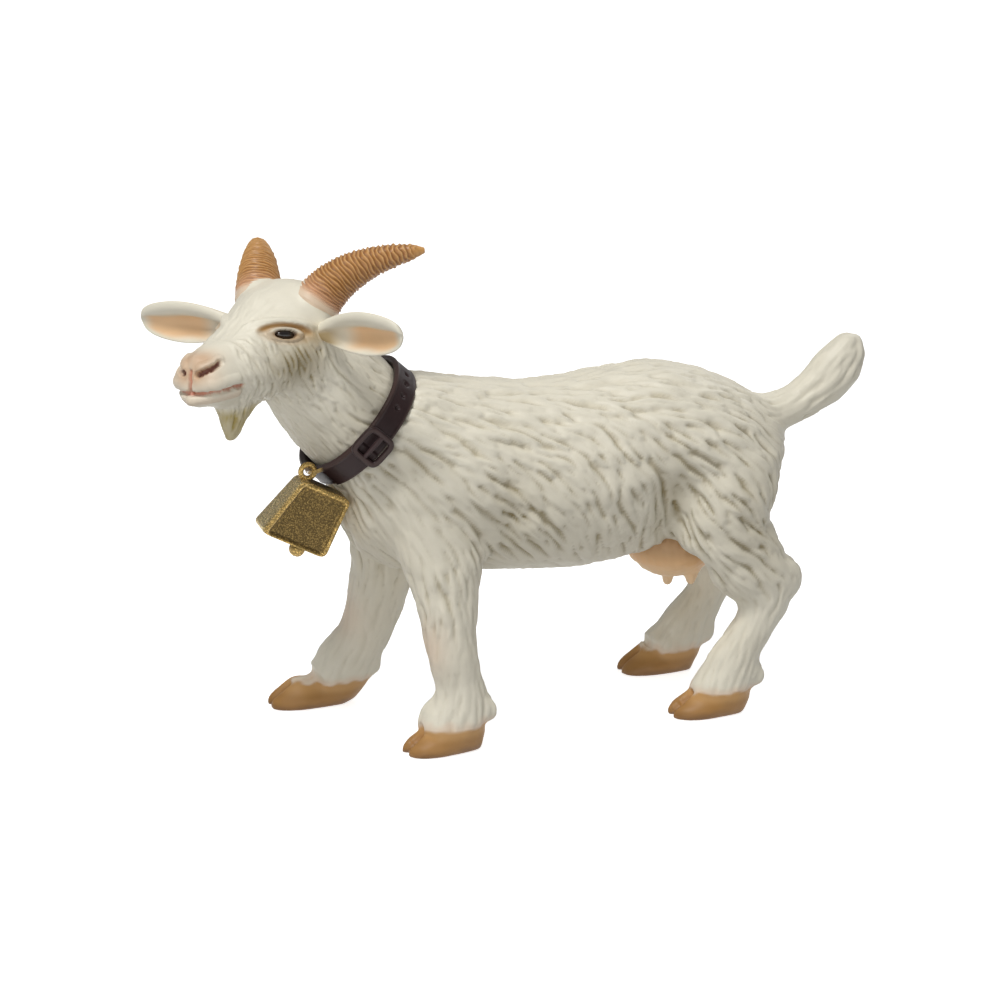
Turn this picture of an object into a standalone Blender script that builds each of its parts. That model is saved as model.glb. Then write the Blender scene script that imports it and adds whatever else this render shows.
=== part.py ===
"""A hand-painted PVC figurine of a white nanny goat with a collar and a cowbell.

The goat faces -X and stands on z = 0; -Y is its own left side, and +Z is up. Sizes below are in
millimetres, and MM turns them into Blender's metres. One sculpted form is lofted from cross
sections and cut into the mouldings that plug together with pegs: torso, four legs, head and
tail. Ears, horns and udder are mouldings of their own. The collar carries a buckle and a
cowbell that swings on the collar's ring.
"""

import math

import bmesh
import bpy
from mathutils import Matrix, Vector

MM = 0.001

# ---- Driving dimensions -------------------------------------------------------------------------
ORIGIN = (3.355, -1.87)  # middle of the figure's outline on the floor
GAP = 0.15  # clearance on each side of a joint between two mouldings
RING_POINTS = 20  # points round one cross section of the body
FORM_VOXEL = 0.55  # grid on which the lofted forms melt into one
FORM_SMOOTHING = 7  # smoothing passes over the melted form
FORM_TRIANGLE_SHARE = 0.078  # what Decimate keeps of the melted form
FLOOR_SIZE, FLOOR_MIDDLE = (120, 60, 4), (3, 0, -2)  # of the block that trims the soles

# Torso: (x, lowest z, highest z, half width), from the breast to the rump.
TORSO = [
    (-21.0, 28.0, 36.0, 3.6),
    (-19.0, 24.0, 42.0, 6.8),
    (-15.0, 21.4, 45.4, 9.2),
    (-9.0, 20.6, 45.7, 10.4),
    (-3.0, 20.2, 44.6, 10.8),
    (3.0, 19.6, 44.0, 11.0),
    (9.0, 19.3, 44.1, 11.2),
    (15.0, 19.9, 44.8, 11.2),
    (21.0, 21.2, 45.2, 11.0),
    (26.5, 22.4, 43.9, 10.6),
    (31.5, 24.2, 41.6, 9.4),
    (35.4, 27.3, 39.2, 6.8),
    (37.6, 30.8, 37.0, 3.4),
]

# Neck: (x, y, z, half height, half width), from the shoulders to the skull.
NECK_AXIS = Vector((-0.74, 0.0, 0.673)).normalized()
NECK = [
    (-10.0, 0.0, 35.2, 11.2, 9.4),
    (-15.0, 0.0, 38.0, 10.2, 9.4),
    (-18.4, 0.0, 40.9, 7.7, 8.6),
    (-21.4, -0.4, 43.9, 7.5, 7.8),
    (-24.2, -1.2, 47.1, 7.0, 7.2),
    (-26.6, -2.4, 50.2, 6.4, 6.8),
]

# Head: its own frame has +X along the muzzle, +Y to the goat's left and +Z to the crown.
HEAD_ORIGIN = Vector((-31.0, -4.2, 53.4))
HEAD_YAW = math.radians(37)  # turned to the goat's left
HEAD_ROLL = math.radians(5)  # and its left side a little higher
# (distance along the muzzle, lowest z, highest z, half width)
HEAD = [
    (-9.5, -3.5, 3.4, 4.0),
    (-7.5, -5.6, 5.2, 6.2),
    (-4.5, -6.9, 5.9, 7.0),
    (-1.0, -7.5, 5.1, 6.9),
    (2.0, -7.6, 3.7, 6.0),
    (5.0, -7.5, 2.4, 5.0),
    (8.0, -7.1, 1.3, 4.4),
    (10.8, -6.7, 0.3, 4.1),
    (12.4, -6.0, -0.8, 3.5),
    (13.5, -5.3, -2.1, 2.1),
]
# Beard, in the head's frame: (x, z, half length fore and aft, half width)
BEARD = [
    (5.6, -6.6, 3.6, 1.9),
    (6.0, -8.4, 2.7, 1.5),
    (6.8, -10.0, 1.6, 1.1),
    (7.8, -11.6, 0.6, 0.6),
]

# Horn, in the head's frame: base, bend and tip; then half depth and half width along it.
HORN_PATH = [Vector((-4.9, 4.4, 2.8)), Vector((-8.2, 6.6, 7.8)), Vector((-15.6, 13.2, 7.9))]
HORN_THICKNESS = [(0.0, 3.2, 2.7), (0.25, 2.8, 2.5), (0.5, 2.2, 2.1), (0.8, 1.4, 1.35), (1.0, 0.6, 0.6)]
HORN_RINGS, HORN_POINTS = 13, 14
HORN_OUT = Vector((0.75, 0.1, 0.6))  # square to the horn's flat side
STEP = 0.01  # along the curve, for its direction

# Ear, in the head's frame: (x, y, z, half width, half thickness, depth of the cup)
EAR_POINTS = 12  # round one cross section
EAR_WIDE, EAR_DEEP = Vector((0.15, 0, 1)).normalized(), Vector((1, 0, -0.15)).normalized()
EAR = [
    (-3.4, 4.8, 0.0, 1.0, 1.0, 0.0),
    (-3.0, 6.6, 0.1, 1.1, 1.0, 0.0),
    (-2.5, 8.4, 0.2, 1.7, 0.8, 0.3),
    (-2.1, 10.6, 0.3, 2.3, 0.6, 0.9),
    (-1.7, 13.4, 0.4, 2.7, 0.55, 1.1),
    (-1.3, 16.2, 0.5, 2.6, 0.55, 0.9),
    (-1.0, 18.8, 0.6, 2.0, 0.5, 0.5),
    (-0.9, 20.5, 0.7, 0.9, 0.4, 0.1),
]

# Legs: (x, y, z, half length fore and aft, half width), from inside the torso to the coronet.
LEGS = {
    "front_leg_left": [
        (-10.5, -6.0, 30.0, 6.0, 4.0),
        (-9.8, -7.6, 24.5, 5.4, 3.9),
        (-9.7, -8.9, 19.5, 4.1, 3.3),
        (-9.6, -9.6, 15.0, 3.4, 2.9),
        (-9.3, -10.0, 12.0, 3.2, 2.8),
        (-8.6, -10.0, 9.0, 3.0, 2.6),
        (-8.2, -10.0, 6.6, 3.7, 3.0),
        (-9.0, -10.0, 4.4, 4.5, 3.4),
        (-9.6, -10.0, 2.4, 4.4, 3.5),
    ],
    "front_leg_right": [
        (-12.0, 6.3, 30.0, 6.4, 4.0),
        (-12.6, 7.4, 24.0, 5.2, 3.8),
        (-13.4, 8.3, 18.0, 4.2, 3.2),
        (-14.2, 9.0, 13.0, 3.9, 3.0),
        (-15.4, 9.4, 9.6, 3.5, 2.8),
        (-17.1, 9.8, 6.6, 3.9, 3.0),
        (-18.9, 10.0, 4.5, 4.4, 3.3),
        (-20.4, 10.0, 2.8, 4.3, 3.4),
    ],
    "hind_leg_left": [
        (27.0, -5.4, 34.5, 9.0, 5.0),
        (26.8, -6.9, 29.0, 7.8, 4.6),
        (27.2, -7.8, 24.4, 5.9, 4.0),
        (29.9, -8.4, 20.2, 5.3, 3.4),
        (32.9, -8.5, 16.6, 4.4, 2.9),
        (32.9, -8.5, 13.9, 3.5, 2.6),
        (31.8, -8.5, 11.6, 2.7, 2.4),
        (30.2, -8.5, 9.2, 2.8, 2.5),
        (28.9, -8.5, 7.0, 3.4, 2.8),
        (27.9, -8.5, 4.7, 4.0, 3.1),
        (27.2, -8.5, 2.6, 4.1, 3.3),
    ],
    "hind_leg_right": [
        (27.0, 5.4, 34.5, 9.0, 5.0),
        (26.8, 6.9, 29.0, 7.8, 4.6),
        (27.8, 7.8, 24.4, 6.2, 4.0),
        (30.8, 8.2, 20.2, 5.2, 3.4),
        (33.4, 8.5, 16.8, 4.0, 2.9),
        (33.2, 8.5, 13.0, 3.1, 2.6),
        (31.5, 8.5, 9.8, 2.8, 2.4),
        (29.4, 8.5, 6.8, 3.5, 2.7),
        (27.6, 8.5, 4.6, 4.2, 3.1),
        (26.2, 8.5, 2.6, 4.2, 3.3),
    ],
}
# Hooves: heel (x, y), and the way the toe points, in degrees from -X towards -Y.
HOOVES = {
    "front_leg_left": (-6.2, -9.5, 8.0),
    "front_leg_right": (-18.6, 10.6, 0.0),
    "hind_leg_left": (30.0, -7.8, 4.0),
    "hind_leg_right": (29.2, 8.9, 0.0),
}
HOOF_LENGTH, HOOF_HEIGHT, HOOF_WIDTH = 9.8, 3.3, 7.2
HOOF_SUNK = 0.8  # below the floor, where the sole is cut flat
# (share of the length from the heel, share of the height, share of the width)
HOOF_PROFILE = [(0.0, 0.9, 0.8), (0.3, 1.0, 0.95), (0.6, 0.86, 0.98), (0.85, 0.6, 0.8), (1.0, 0.35, 0.45)]

# Where the legs are cut from the torso: (lowest x, highest x, innermost |y|, highest z)
LEG_CUTS = {
    "front_leg_left": (-20.0, 0.0, 3.6, 20.3),
    "front_leg_right": (-32.0, 0.0, 3.6, 20.3),
    "hind_leg_left": (18.0, 42.0, 3.6, 20.6),
    "hind_leg_right": (18.0, 42.0, 3.6, 20.6),
}
LEG_CUT_OUTSIDE, LEG_CUT_BOTTOM = 18.0, -3.0  # how far out and down those cuts reach
# Leg pegs: (x, |y|) of each, and their common radius and height above the cut
LEG_PEGS = {
    "front_leg_left": (-9.8, 8.4),
    "front_leg_right": (-13.0, 7.9),
    "hind_leg_left": (29.6, 8.0),
    "hind_leg_right": (29.8, 8.0),
}
LEG_PEG_RADIUS, LEG_PEG_LENGTH = 1.6, 3.0
PEG_ROOT = 1.0  # how far every peg reaches into its own moulding
PEG_SEGMENTS, SMALL_PEG_SEGMENTS = 24, 16

# Tail: (x, z, half thickness, half width), from the rump to the raised tip.
TAIL = [
    (34.5, 36.4, 3.3, 3.0),
    (37.6, 37.2, 2.7, 2.6),
    (40.6, 38.2, 2.5, 2.4),
    (43.6, 40.2, 3.1, 2.7),
    (46.0, 42.6, 3.3, 2.8),
    (47.4, 44.9, 2.6, 2.3),
    (47.9, 46.8, 1.3, 1.3),
]
TAIL_CUT = Vector((37.3, 0.0, 37.2))
TAIL_AXIS = Vector((0.93, 0.0, 0.37)).normalized()
TAIL_PEG_RADIUS, TAIL_PEG_LENGTH = 1.0, 2.4
TAIL_REGION = (20.0, 12.0, 24.0)  # size of the block that the tail is cut out with

# Udder: two round quarters on the belly, each with a teat.
UDDER_MIDDLE = Vector((23.2, 0.0, 21.2))
UDDER_HALF_SIZE = Vector((6.2, 6.4, 4.8))
TEATS = [Vector((25.0, -2.9, 15.8)), Vector((24.0, 2.9, 15.8))]  # lowest points
TEAT_RADIUS, TEAT_TIP_RADIUS, TEAT_LENGTH = 0.9, 0.55, 3.0
UDDER_SEGMENTS, UDDER_RINGS, TEAT_SEGMENTS = 20, 12, 12

# Collar: an elliptical band square to the neck.
COLLAR_MIDDLE = Vector((-18.5, 0.0, 40.65))
COLLAR_UP = Vector((0.673, 0.0, 0.74)).normalized()
COLLAR_HALF_HEIGHT, COLLAR_HALF_WIDTH = 8.8, 9.4  # of the outer surface
STRAP_WIDTH, STRAP_THICKNESS = 3.4, 0.9
STRAP_SEGMENTS = 44
STRAP_EDGE, BUCKLE_EDGE, PRONG_EDGE = 0.2, 0.18, 0.1  # roundings
SEAT_HEIGHT = 3.0  # how far the groove's cutter stands proud of the strap
SEAT_CLEARANCE = 0.15
NECK_PEG_RADIUS, NECK_PEG_LENGTH = 4.0, 3.0
HEAD_REGION = (45.0, 50.0, 50.0)  # size of the block that the head is cut out with

# Buckle: a rounded frame on the strap's near side, at this angle round the band from the nape.
BUCKLE_ANGLE = math.radians(96)
BUCKLE_LENGTH, BUCKLE_WIDTH, BUCKLE_BAR, BUCKLE_THICKNESS = 4.4, 4.3, 0.75, 0.75
BUCKLE_LIFT = 0.25  # clear of the strap
PRONG_WIDTH, PRONG_THICKNESS = 0.5, 0.4

# Bell: pivot of the crown's eye, tilt of the box and its sizes.
BELL_PIVOT = Vector((-26.05, -4.9, 36.05))
BELL_TILT = math.radians(28)  # at which the bell hangs plumb under its pivot
BELL_LENGTH, BELL_HEIGHT = 6.8, 7.8  # of the crown, and down to the mouth
BELL_FRONT_SPREAD, BELL_BACK_SPREAD = 1.9, 0.4  # how far each end flares by the mouth
BELL_TOP_DEPTH, BELL_BOTTOM_DEPTH = 3.8, 5.0
BELL_CLEARANCE = 0.5  # between the bell and the breast behind it
BELL_WALL = 0.5
BELL_EDGE_RADIUS = 0.4
BELL_CROWN_DROP = 0.9  # from the pivot down to the crown
BELL_FRONT_REACH = 0.4  # from the pivot forward to the crown's front end
EYE_RADIUS, EYE_WIRE_RADIUS = 0.85, 0.32
EYE_SEGMENTS, EYE_WIRE_SEGMENTS = 18, 8
CLAPPER_RADIUS, CLAPPER_DROP, CLAPPER_BACK = 1.0, 9.3, 3.2  # ball, and its place below and behind the pivot
CLAPPER_STEM_RADIUS = 0.35
CLAPPER_SEGMENTS, CLAPPER_RINGS, STEM_SEGMENTS = 14, 8, 10
STAPLE_HALF_SPAN, STAPLE_WIRE_RADIUS = 1.0, 0.26
STAPLE_ROOT_INSET = 0.6  # of its feet from the strap's front edge
STAPLE_BEND = 0.4  # how much its two corners are cut off
STAPLE_SPLAY = 1.1  # how much wider apart its feet are
WELD = 0.01  # points closer than this are one


# ---- Building blocks ----------------------------------------------------------------------------
def ring(centre, side, up, half_side, half_up, points=RING_POINTS):
    """One elliptical cross section, as a list of points."""
    turns = (2 * math.pi * i / points for i in range(points))
    return [centre + side * (half_side * math.cos(t)) + up * (half_up * math.sin(t)) for t in turns]


def loft(bm, rings):
    """Skins a row of cross sections and closes both ends."""
    rows = [[bm.verts.new(p * MM) for p in points] for points in rings]
    for low, high in zip(rows, rows[1:]):
        for i in range(len(low)):
            j = (i + 1) % len(low)
            bm.faces.new((low[i], low[j], high[j], high[i]))
    bm.faces.new(reversed(rows[0]))
    bm.faces.new(rows[-1])


def limb(bm, sections):
    """A loft along a path, each ring square to the path and level from side to side."""
    centres = [Vector(s[:3]) for s in sections]
    rings = []
    for i, section in enumerate(sections):
        along = (centres[min(i + 1, len(centres) - 1)] - centres[max(i - 1, 0)]).normalized()
        side = Vector((0, 1, 0))
        fore = along.cross(side).normalized()
        rings.append(ring(centres[i], fore, side, section[3], section[4]))
    loft(bm, rings)


def new_object(name, bm, collection, parent=None):
    """Turns a bmesh into an object; facets stay flat until the shape is known to be round."""
    bmesh.ops.recalc_face_normals(bm, faces=bm.faces)
    mesh = bpy.data.meshes.new(name)
    bm.to_mesh(mesh)
    bm.free()
    made = bpy.data.objects.new(name, mesh)
    made.parent = parent
    collection.objects.link(made)
    return made


def cylinder(name, radius, depth, middle, axis, collection, parent, segments=PEG_SEGMENTS):
    """A plain cylinder along any axis, by its middle."""
    bm = bmesh.new()
    bmesh.ops.create_cone(
        bm, cap_ends=True, segments=segments, radius1=radius * MM, radius2=radius * MM, depth=depth * MM
    )
    made = new_object(name, bm, collection, parent)
    made.location = middle * MM
    made.rotation_mode = "QUATERNION"
    made.rotation_quaternion = Vector((0, 0, 1)).rotation_difference(axis)
    return made


def box(name, size, middle, collection, parent, turn=None):
    """A plain box by its middle, turned by a matrix when one is given."""
    bm = bmesh.new()
    bmesh.ops.create_cube(bm, size=1.0)
    bmesh.ops.scale(bm, vec=Vector(size) * MM, verts=bm.verts)
    made = new_object(name, bm, collection, parent)
    made.location = Vector(middle) * MM
    if turn is not None:
        made.rotation_mode = "QUATERNION"
        made.rotation_quaternion = turn.to_quaternion()
    return made


def boolean(target, other, operation):
    step = target.modifiers.new(f"{operation.title()} {other.name}", "BOOLEAN")
    step.operation = operation
    step.solver = "EXACT"
    step.object = other


def axes(x, y, z):
    """A rotation whose columns are the three given directions."""
    return Matrix((x, y, z)).transposed()


# ---- The head's own frame -----------------------------------------------------------------------
def head_matrix():
    """From the head's own frame to the goat's, in millimetres."""
    turn = Matrix.Rotation(math.pi + HEAD_YAW, 4, "Z") @ Matrix.Rotation(HEAD_ROLL, 4, "X")
    return Matrix.Translation(HEAD_ORIGIN) @ turn


def in_head(x, y, z):
    return head_matrix() @ Vector((x, y, z))


def head_direction(x, y, z):
    return head_matrix().to_3x3() @ Vector((x, y, z))


# ---- The sculpted form --------------------------------------------------------------------------
def add_torso(bm):
    side, up = Vector((0, 1, 0)), Vector((0, 0, 1))
    rings = []
    for x, low, high, half_width in TORSO:
        rings.append(ring(Vector((x, 0, (low + high) / 2)), side, up, half_width, (high - low) / 2))
    loft(bm, rings)


def add_neck(bm):
    side = Vector((0, 1, 0))
    up = side.cross(NECK_AXIS)
    loft(bm, [ring(Vector(s[:3]), side, up, s[4], s[3]) for s in NECK])


def add_head(bm):
    side, up, fore = head_direction(0, 1, 0), head_direction(0, 0, 1), head_direction(1, 0, 0)
    rings = []
    for x, low, high, half_width in HEAD:
        rings.append(ring(in_head(x, 0, (low + high) / 2), side, up, half_width, (high - low) / 2))
    loft(bm, rings)
    loft(bm, [ring(in_head(x, 0, z), fore, side, long, wide) for x, z, long, wide in BEARD])


def add_hoof(bm, heel_x, heel_y, toe_angle):
    """A wedge whose top slopes down to the toe, a little wider in the middle."""
    turn = Matrix.Rotation(math.radians(toe_angle), 3, "Z")
    side, up = turn @ Vector((0, 1, 0)), Vector((0, 0, 1))
    rings = []
    for share, rise, spread in HOOF_PROFILE:
        top = HOOF_HEIGHT * rise
        centre = Vector((heel_x, heel_y, (top - HOOF_SUNK) / 2)) + turn @ Vector((-HOOF_LENGTH * share, 0, 0))
        rings.append(ring(centre, side, up, HOOF_WIDTH / 2 * spread, (top + HOOF_SUNK) / 2))
    loft(bm, rings)


def add_tail(bm):
    limb(bm, [(x, 0.0, z, thick, width) for x, z, thick, width in TAIL])


def sculpted_form(collection, parent):
    """Torso, neck, head, legs and tail melted into one closed surface."""
    bm = bmesh.new()
    add_torso(bm)
    add_neck(bm)
    add_head(bm)
    add_tail(bm)
    for name, sections in LEGS.items():
        limb(bm, sections)
        add_hoof(bm, *HOOVES[name])
    form = new_object("sculpted_form", bm, collection, parent)
    melt = form.modifiers.new("Melt", "REMESH")
    melt.mode = "VOXEL"
    melt.voxel_size = FORM_VOXEL * MM
    smooth = form.modifiers.new("Smooth", "SMOOTH")
    smooth.iterations = FORM_SMOOTHING
    reduce = form.modifiers.new("Reduce", "DECIMATE")
    reduce.ratio = FORM_TRIANGLE_SHARE
    return form


def baked_mesh(source):
    """The mesh an object's modifiers give, as a mesh of its own."""
    depsgraph = bpy.context.evaluated_depsgraph_get()
    return bpy.data.meshes.new_from_object(source.evaluated_get(depsgraph), depsgraph=depsgraph)


# ---- The mouldings cut from the form ------------------------------------------------------------
def cut_floor(target, cutters, parent):
    """Trims the soles flat."""
    floor = bpy.data.objects.get("floor_cutter")
    if floor is None:
        floor = box("floor_cutter", FLOOR_SIZE, FLOOR_MIDDLE, cutters, parent)
    boolean(target, floor, "DIFFERENCE")


def leg_box(name, grow, cutters, parent):
    low_x, high_x, inner, high_z = LEG_CUTS[name]
    side = -1 if name.endswith("left") else 1
    width, height = LEG_CUT_OUTSIDE - inner, high_z - LEG_CUT_BOTTOM
    size = (high_x - low_x + 2 * grow, width + 2 * grow, height + 2 * grow)
    middle = ((low_x + high_x) / 2, side * (inner + width / 2), LEG_CUT_BOTTOM + height / 2)
    return box(f"{name}_region_{'torso' if grow > 0 else 'leg'}", size, middle, cutters, parent)


def moulding(name, mesh, parts, parent):
    made = bpy.data.objects.new(name, mesh.copy())
    made.parent = parent
    parts.objects.link(made)
    return made


def make_leg(name, form, torso, parts, cutters, parent):
    leg = moulding(name, form, parts, parent)
    boolean(leg, leg_box(name, -GAP, cutters, parent), "INTERSECT")
    boolean(torso, leg_box(name, GAP, cutters, parent), "DIFFERENCE")
    cut_floor(leg, cutters, parent)
    x, y = LEG_PEGS[name]
    side = -1 if name.endswith("left") else 1
    top = LEG_CUTS[name][3]
    up = Vector((0, 0, 1))
    middle = Vector((x, side * y, top + (LEG_PEG_LENGTH - PEG_ROOT) / 2))
    length = LEG_PEG_LENGTH + PEG_ROOT
    peg = cylinder(f"{name}_peg", LEG_PEG_RADIUS, length, middle, up, cutters, parent)
    boolean(leg, peg, "UNION")
    socket = cylinder(
        f"{name}_socket", LEG_PEG_RADIUS + GAP, length + 2 * GAP, middle, up, cutters, parent
    )
    boolean(torso, socket, "DIFFERENCE")
    return leg


def make_tail(form, torso, parts, cutters, parent):
    tail = moulding("tail", form, parts, parent)
    side = Vector((0, 1, 0))
    turn = axes(TAIL_AXIS, side, TAIL_AXIS.cross(side))
    for target, start, operation in ((tail, GAP, "INTERSECT"), (torso, -GAP, "DIFFERENCE")):
        middle = TAIL_CUT + TAIL_AXIS * (start + TAIL_REGION[0] / 2)
        region = box(f"tail_region_{target.name}", TAIL_REGION, middle, cutters, parent, turn)
        boolean(target, region, operation)
    middle = TAIL_CUT - TAIL_AXIS * ((TAIL_PEG_LENGTH - PEG_ROOT) / 2)
    length = TAIL_PEG_LENGTH + PEG_ROOT
    segments = SMALL_PEG_SEGMENTS
    peg = cylinder("tail_peg", TAIL_PEG_RADIUS, length, middle, TAIL_AXIS, cutters, parent, segments)
    boolean(tail, peg, "UNION")
    socket = cylinder(
        "tail_socket", TAIL_PEG_RADIUS + GAP, length + 2 * GAP, middle, TAIL_AXIS, cutters, parent, segments
    )
    boolean(torso, socket, "DIFFERENCE")


def make_head(form, torso, parts, cutters, parent):
    """Everything in front of the collar's middle, with a peg into the torso."""
    head = moulding("head", form, parts, parent)
    side = Vector((0, 1, 0))
    turn = axes(NECK_AXIS, side, NECK_AXIS.cross(side))
    for target, start, operation in ((head, GAP, "INTERSECT"), (torso, -GAP, "DIFFERENCE")):
        middle = COLLAR_MIDDLE + NECK_AXIS * (start + HEAD_REGION[0] / 2)
        region = box(f"head_region_{target.name}", HEAD_REGION, middle, cutters, parent, turn)
        boolean(target, region, operation)
    middle = COLLAR_MIDDLE - NECK_AXIS * ((NECK_PEG_LENGTH - PEG_ROOT) / 2)
    length = NECK_PEG_LENGTH + PEG_ROOT
    peg = cylinder("neck_peg", NECK_PEG_RADIUS, length, middle, NECK_AXIS, cutters, parent)
    boolean(head, peg, "UNION")
    radius = NECK_PEG_RADIUS + GAP
    socket = cylinder("neck_socket", radius, length + 2 * GAP, middle, NECK_AXIS, cutters, parent)
    boolean(torso, socket, "DIFFERENCE")
    return head


# ---- Ears and horns -----------------------------------------------------------------------------
def ear_solid(name, side, grow, collection, parent):
    """A leaf with a hollow that faces forward; its root is a round peg in the head."""
    rings = []
    for x, y, z, half_width, half_thickness, cup in EAR:
        points = []
        for i in range(EAR_POINTS):
            t = 2 * math.pi * i / EAR_POINTS
            across = (half_width + grow) * math.cos(t)
            through = (half_thickness + grow) * math.sin(t) - cup * math.sin(t) ** 2
            local = Vector((x, y, z)) + EAR_WIDE * across + EAR_DEEP * through
            points.append(in_head(local.x, side * local.y, local.z))
        rings.append(points)
    bm = bmesh.new()
    loft(bm, rings)
    return new_object(name, bm, collection, parent)


def bezier(a, b, c, t):
    return a * (1 - t) ** 2 + b * (2 * t * (1 - t)) + c * t**2


def lerp_table(table, t):
    """Values of a table (t, value, value) between its rows."""
    for low, high in zip(table, table[1:]):
        if t <= high[0]:
            share = (t - low[0]) / (high[0] - low[0])
            return [a + (b - a) * share for a, b in zip(low[1:], high[1:])]
    return list(table[-1][1:])


def horn_solid(name, side, grow, collection, parent):
    """An oval horn that curves back and out from its root in the skull."""
    start, bend, tip = HORN_PATH
    rings = []
    for i in range(HORN_RINGS):
        t = i / (HORN_RINGS - 1)
        along = (bezier(start, bend, tip, t + STEP) - bezier(start, bend, tip, t - STEP)).normalized()
        out = along.cross(HORN_OUT).normalized()
        fore = out.cross(along).normalized()
        depth, width = lerp_table(HORN_THICKNESS, t)
        points = ring(bezier(start, bend, tip, t), fore, out, depth + grow, width + grow, HORN_POINTS)
        rings.append([in_head(p.x, side * p.y, p.z) for p in points])
    bm = bmesh.new()
    loft(bm, rings)
    return new_object(name, bm, collection, parent)


def make_ears_and_horns(head, parts, cutters, parent):
    for label, side in (("left", 1), ("right", -1)):
        ear_solid(f"ear_{label}", side, 0, parts, parent)
        boolean(head, ear_solid(f"ear_{label}_socket", side, GAP * 2, cutters, parent), "DIFFERENCE")
        horn_solid(f"horn_{label}", side, 0, parts, parent)
        boolean(head, horn_solid(f"horn_{label}_socket", side, GAP * 2, cutters, parent), "DIFFERENCE")


# ---- Udder --------------------------------------------------------------------------------------
def udder_solid(name, grow, collection, parent):
    bm = bmesh.new()
    bmesh.ops.create_uvsphere(bm, u_segments=UDDER_SEGMENTS, v_segments=UDDER_RINGS, radius=1.0)
    bmesh.ops.scale(bm, vec=(UDDER_HALF_SIZE + Vector((grow, grow, grow))) * MM, verts=bm.verts)
    made = new_object(name, bm, collection, parent)
    made.location = UDDER_MIDDLE * MM
    return made


def make_udder(torso, legs, parts, cutters, parent):
    udder = udder_solid("udder", 0, parts, parent)
    for i, tip in enumerate(TEATS):
        bm = bmesh.new()
        bmesh.ops.create_cone(
            bm, cap_ends=True, segments=TEAT_SEGMENTS, radius1=TEAT_TIP_RADIUS * MM, radius2=TEAT_RADIUS * MM,
            depth=TEAT_LENGTH * MM,
        )
        teat = new_object(f"teat_{i}", bm, cutters, parent)
        teat.location = (tip + Vector((0, 0, TEAT_LENGTH / 2))) * MM
        boolean(udder, teat, "UNION")
    socket = udder_solid("udder_socket", GAP * 2, cutters, parent)
    boolean(torso, socket, "DIFFERENCE")
    for leg in legs:
        boolean(leg, socket, "DIFFERENCE")
    return udder


# ---- Collar -------------------------------------------------------------------------------------
def collar_turn():
    """X from the head towards the shoulders, Y to the goat's right, Z up across the band."""
    side = Vector((0, 1, 0))
    along = side.cross(COLLAR_UP).normalized()
    return axes(along, side, along.cross(side))


def band(name, outer_grow, inner_grow, width, collection, parent, segments=STRAP_SEGMENTS):
    """An elliptical band round the neck; the two grows move its outer and inner surfaces outward."""
    turn = collar_turn()
    along, side, up = turn.col[0], turn.col[1], turn.col[2]
    inner_height = COLLAR_HALF_HEIGHT - STRAP_THICKNESS + inner_grow
    inner_width = COLLAR_HALF_WIDTH - STRAP_THICKNESS + inner_grow
    outer_height, outer_width = COLLAR_HALF_HEIGHT + outer_grow, COLLAR_HALF_WIDTH + outer_grow
    bm = bmesh.new()
    rows = []
    for shift, half_side, half_up in (
        (-width / 2, inner_width, inner_height), (width / 2, inner_width, inner_height),
        (width / 2, outer_width, outer_height), (-width / 2, outer_width, outer_height),
    ):
        points = ring(COLLAR_MIDDLE + along * shift, side, up, half_side, half_up, segments)
        rows.append([bm.verts.new(p * MM) for p in points])
    for low, high in zip(rows, rows[1:] + rows[:1]):
        for i in range(segments):
            j = (i + 1) % segments
            bm.faces.new((low[i], low[j], high[j], high[i]))
    return new_object(name, bm, collection, parent)


def round_edges(target, width, segments=2):
    bevel = target.modifiers.new("Round the edges", "BEVEL")
    bevel.width = width * MM
    bevel.segments = segments
    bevel.limit_method = "ANGLE"


def on_collar(angle, lift):
    """A point on the band at an angle from the nape to the goat's left, and its three directions."""
    turn = collar_turn()
    along, side, up = turn.col[0], turn.col[1], turn.col[2]
    point = COLLAR_MIDDLE + up * (COLLAR_HALF_HEIGHT * math.cos(angle))
    point = point - side * (COLLAR_HALF_WIDTH * math.sin(angle))
    tangent = -up * (COLLAR_HALF_HEIGHT * math.sin(angle)) - side * (COLLAR_HALF_WIDTH * math.cos(angle))
    tangent.normalize()
    out = tangent.cross(along).normalized()
    if out.dot(point - COLLAR_MIDDLE) < 0:
        out = -out
    return point + out * lift, along, tangent, out


def make_collar(torso, head, parts, cutters, parent):
    strap = band("collar_strap", 0, 0, STRAP_WIDTH, parts, parent)
    round_edges(strap, STRAP_EDGE, 1)
    width = STRAP_WIDTH + 2 * SEAT_CLEARANCE
    seat = band("collar_seat", SEAT_HEIGHT, -SEAT_CLEARANCE, width, cutters, parent)
    for target in (torso, head):
        boolean(target, seat, "DIFFERENCE")


def make_buckle(parts, cutters, parent):
    """A rounded frame over the strap, with a prong from its lower bar to its upper one."""
    place, along, tangent, out = on_collar(BUCKLE_ANGLE, BUCKLE_LIFT + BUCKLE_THICKNESS / 2)
    turn = axes(tangent, out.cross(tangent), out)
    frame = box(
        "collar_buckle", (BUCKLE_LENGTH, BUCKLE_WIDTH, BUCKLE_THICKNESS), place, parts, parent, turn
    )
    window = box(
        "buckle_window",
        (BUCKLE_LENGTH - 2 * BUCKLE_BAR, BUCKLE_WIDTH - 2 * BUCKLE_BAR, 4 * BUCKLE_THICKNESS),
        place, cutters, parent, turn,
    )
    boolean(frame, window, "DIFFERENCE")
    round_edges(frame, BUCKLE_EDGE)
    length = BUCKLE_LENGTH - 2 * BUCKLE_BAR - 4 * GAP
    prong = box("buckle_prong", (length, PRONG_WIDTH, PRONG_THICKNESS), place, parts, parent, turn)
    round_edges(prong, PRONG_EDGE, 1)


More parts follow.
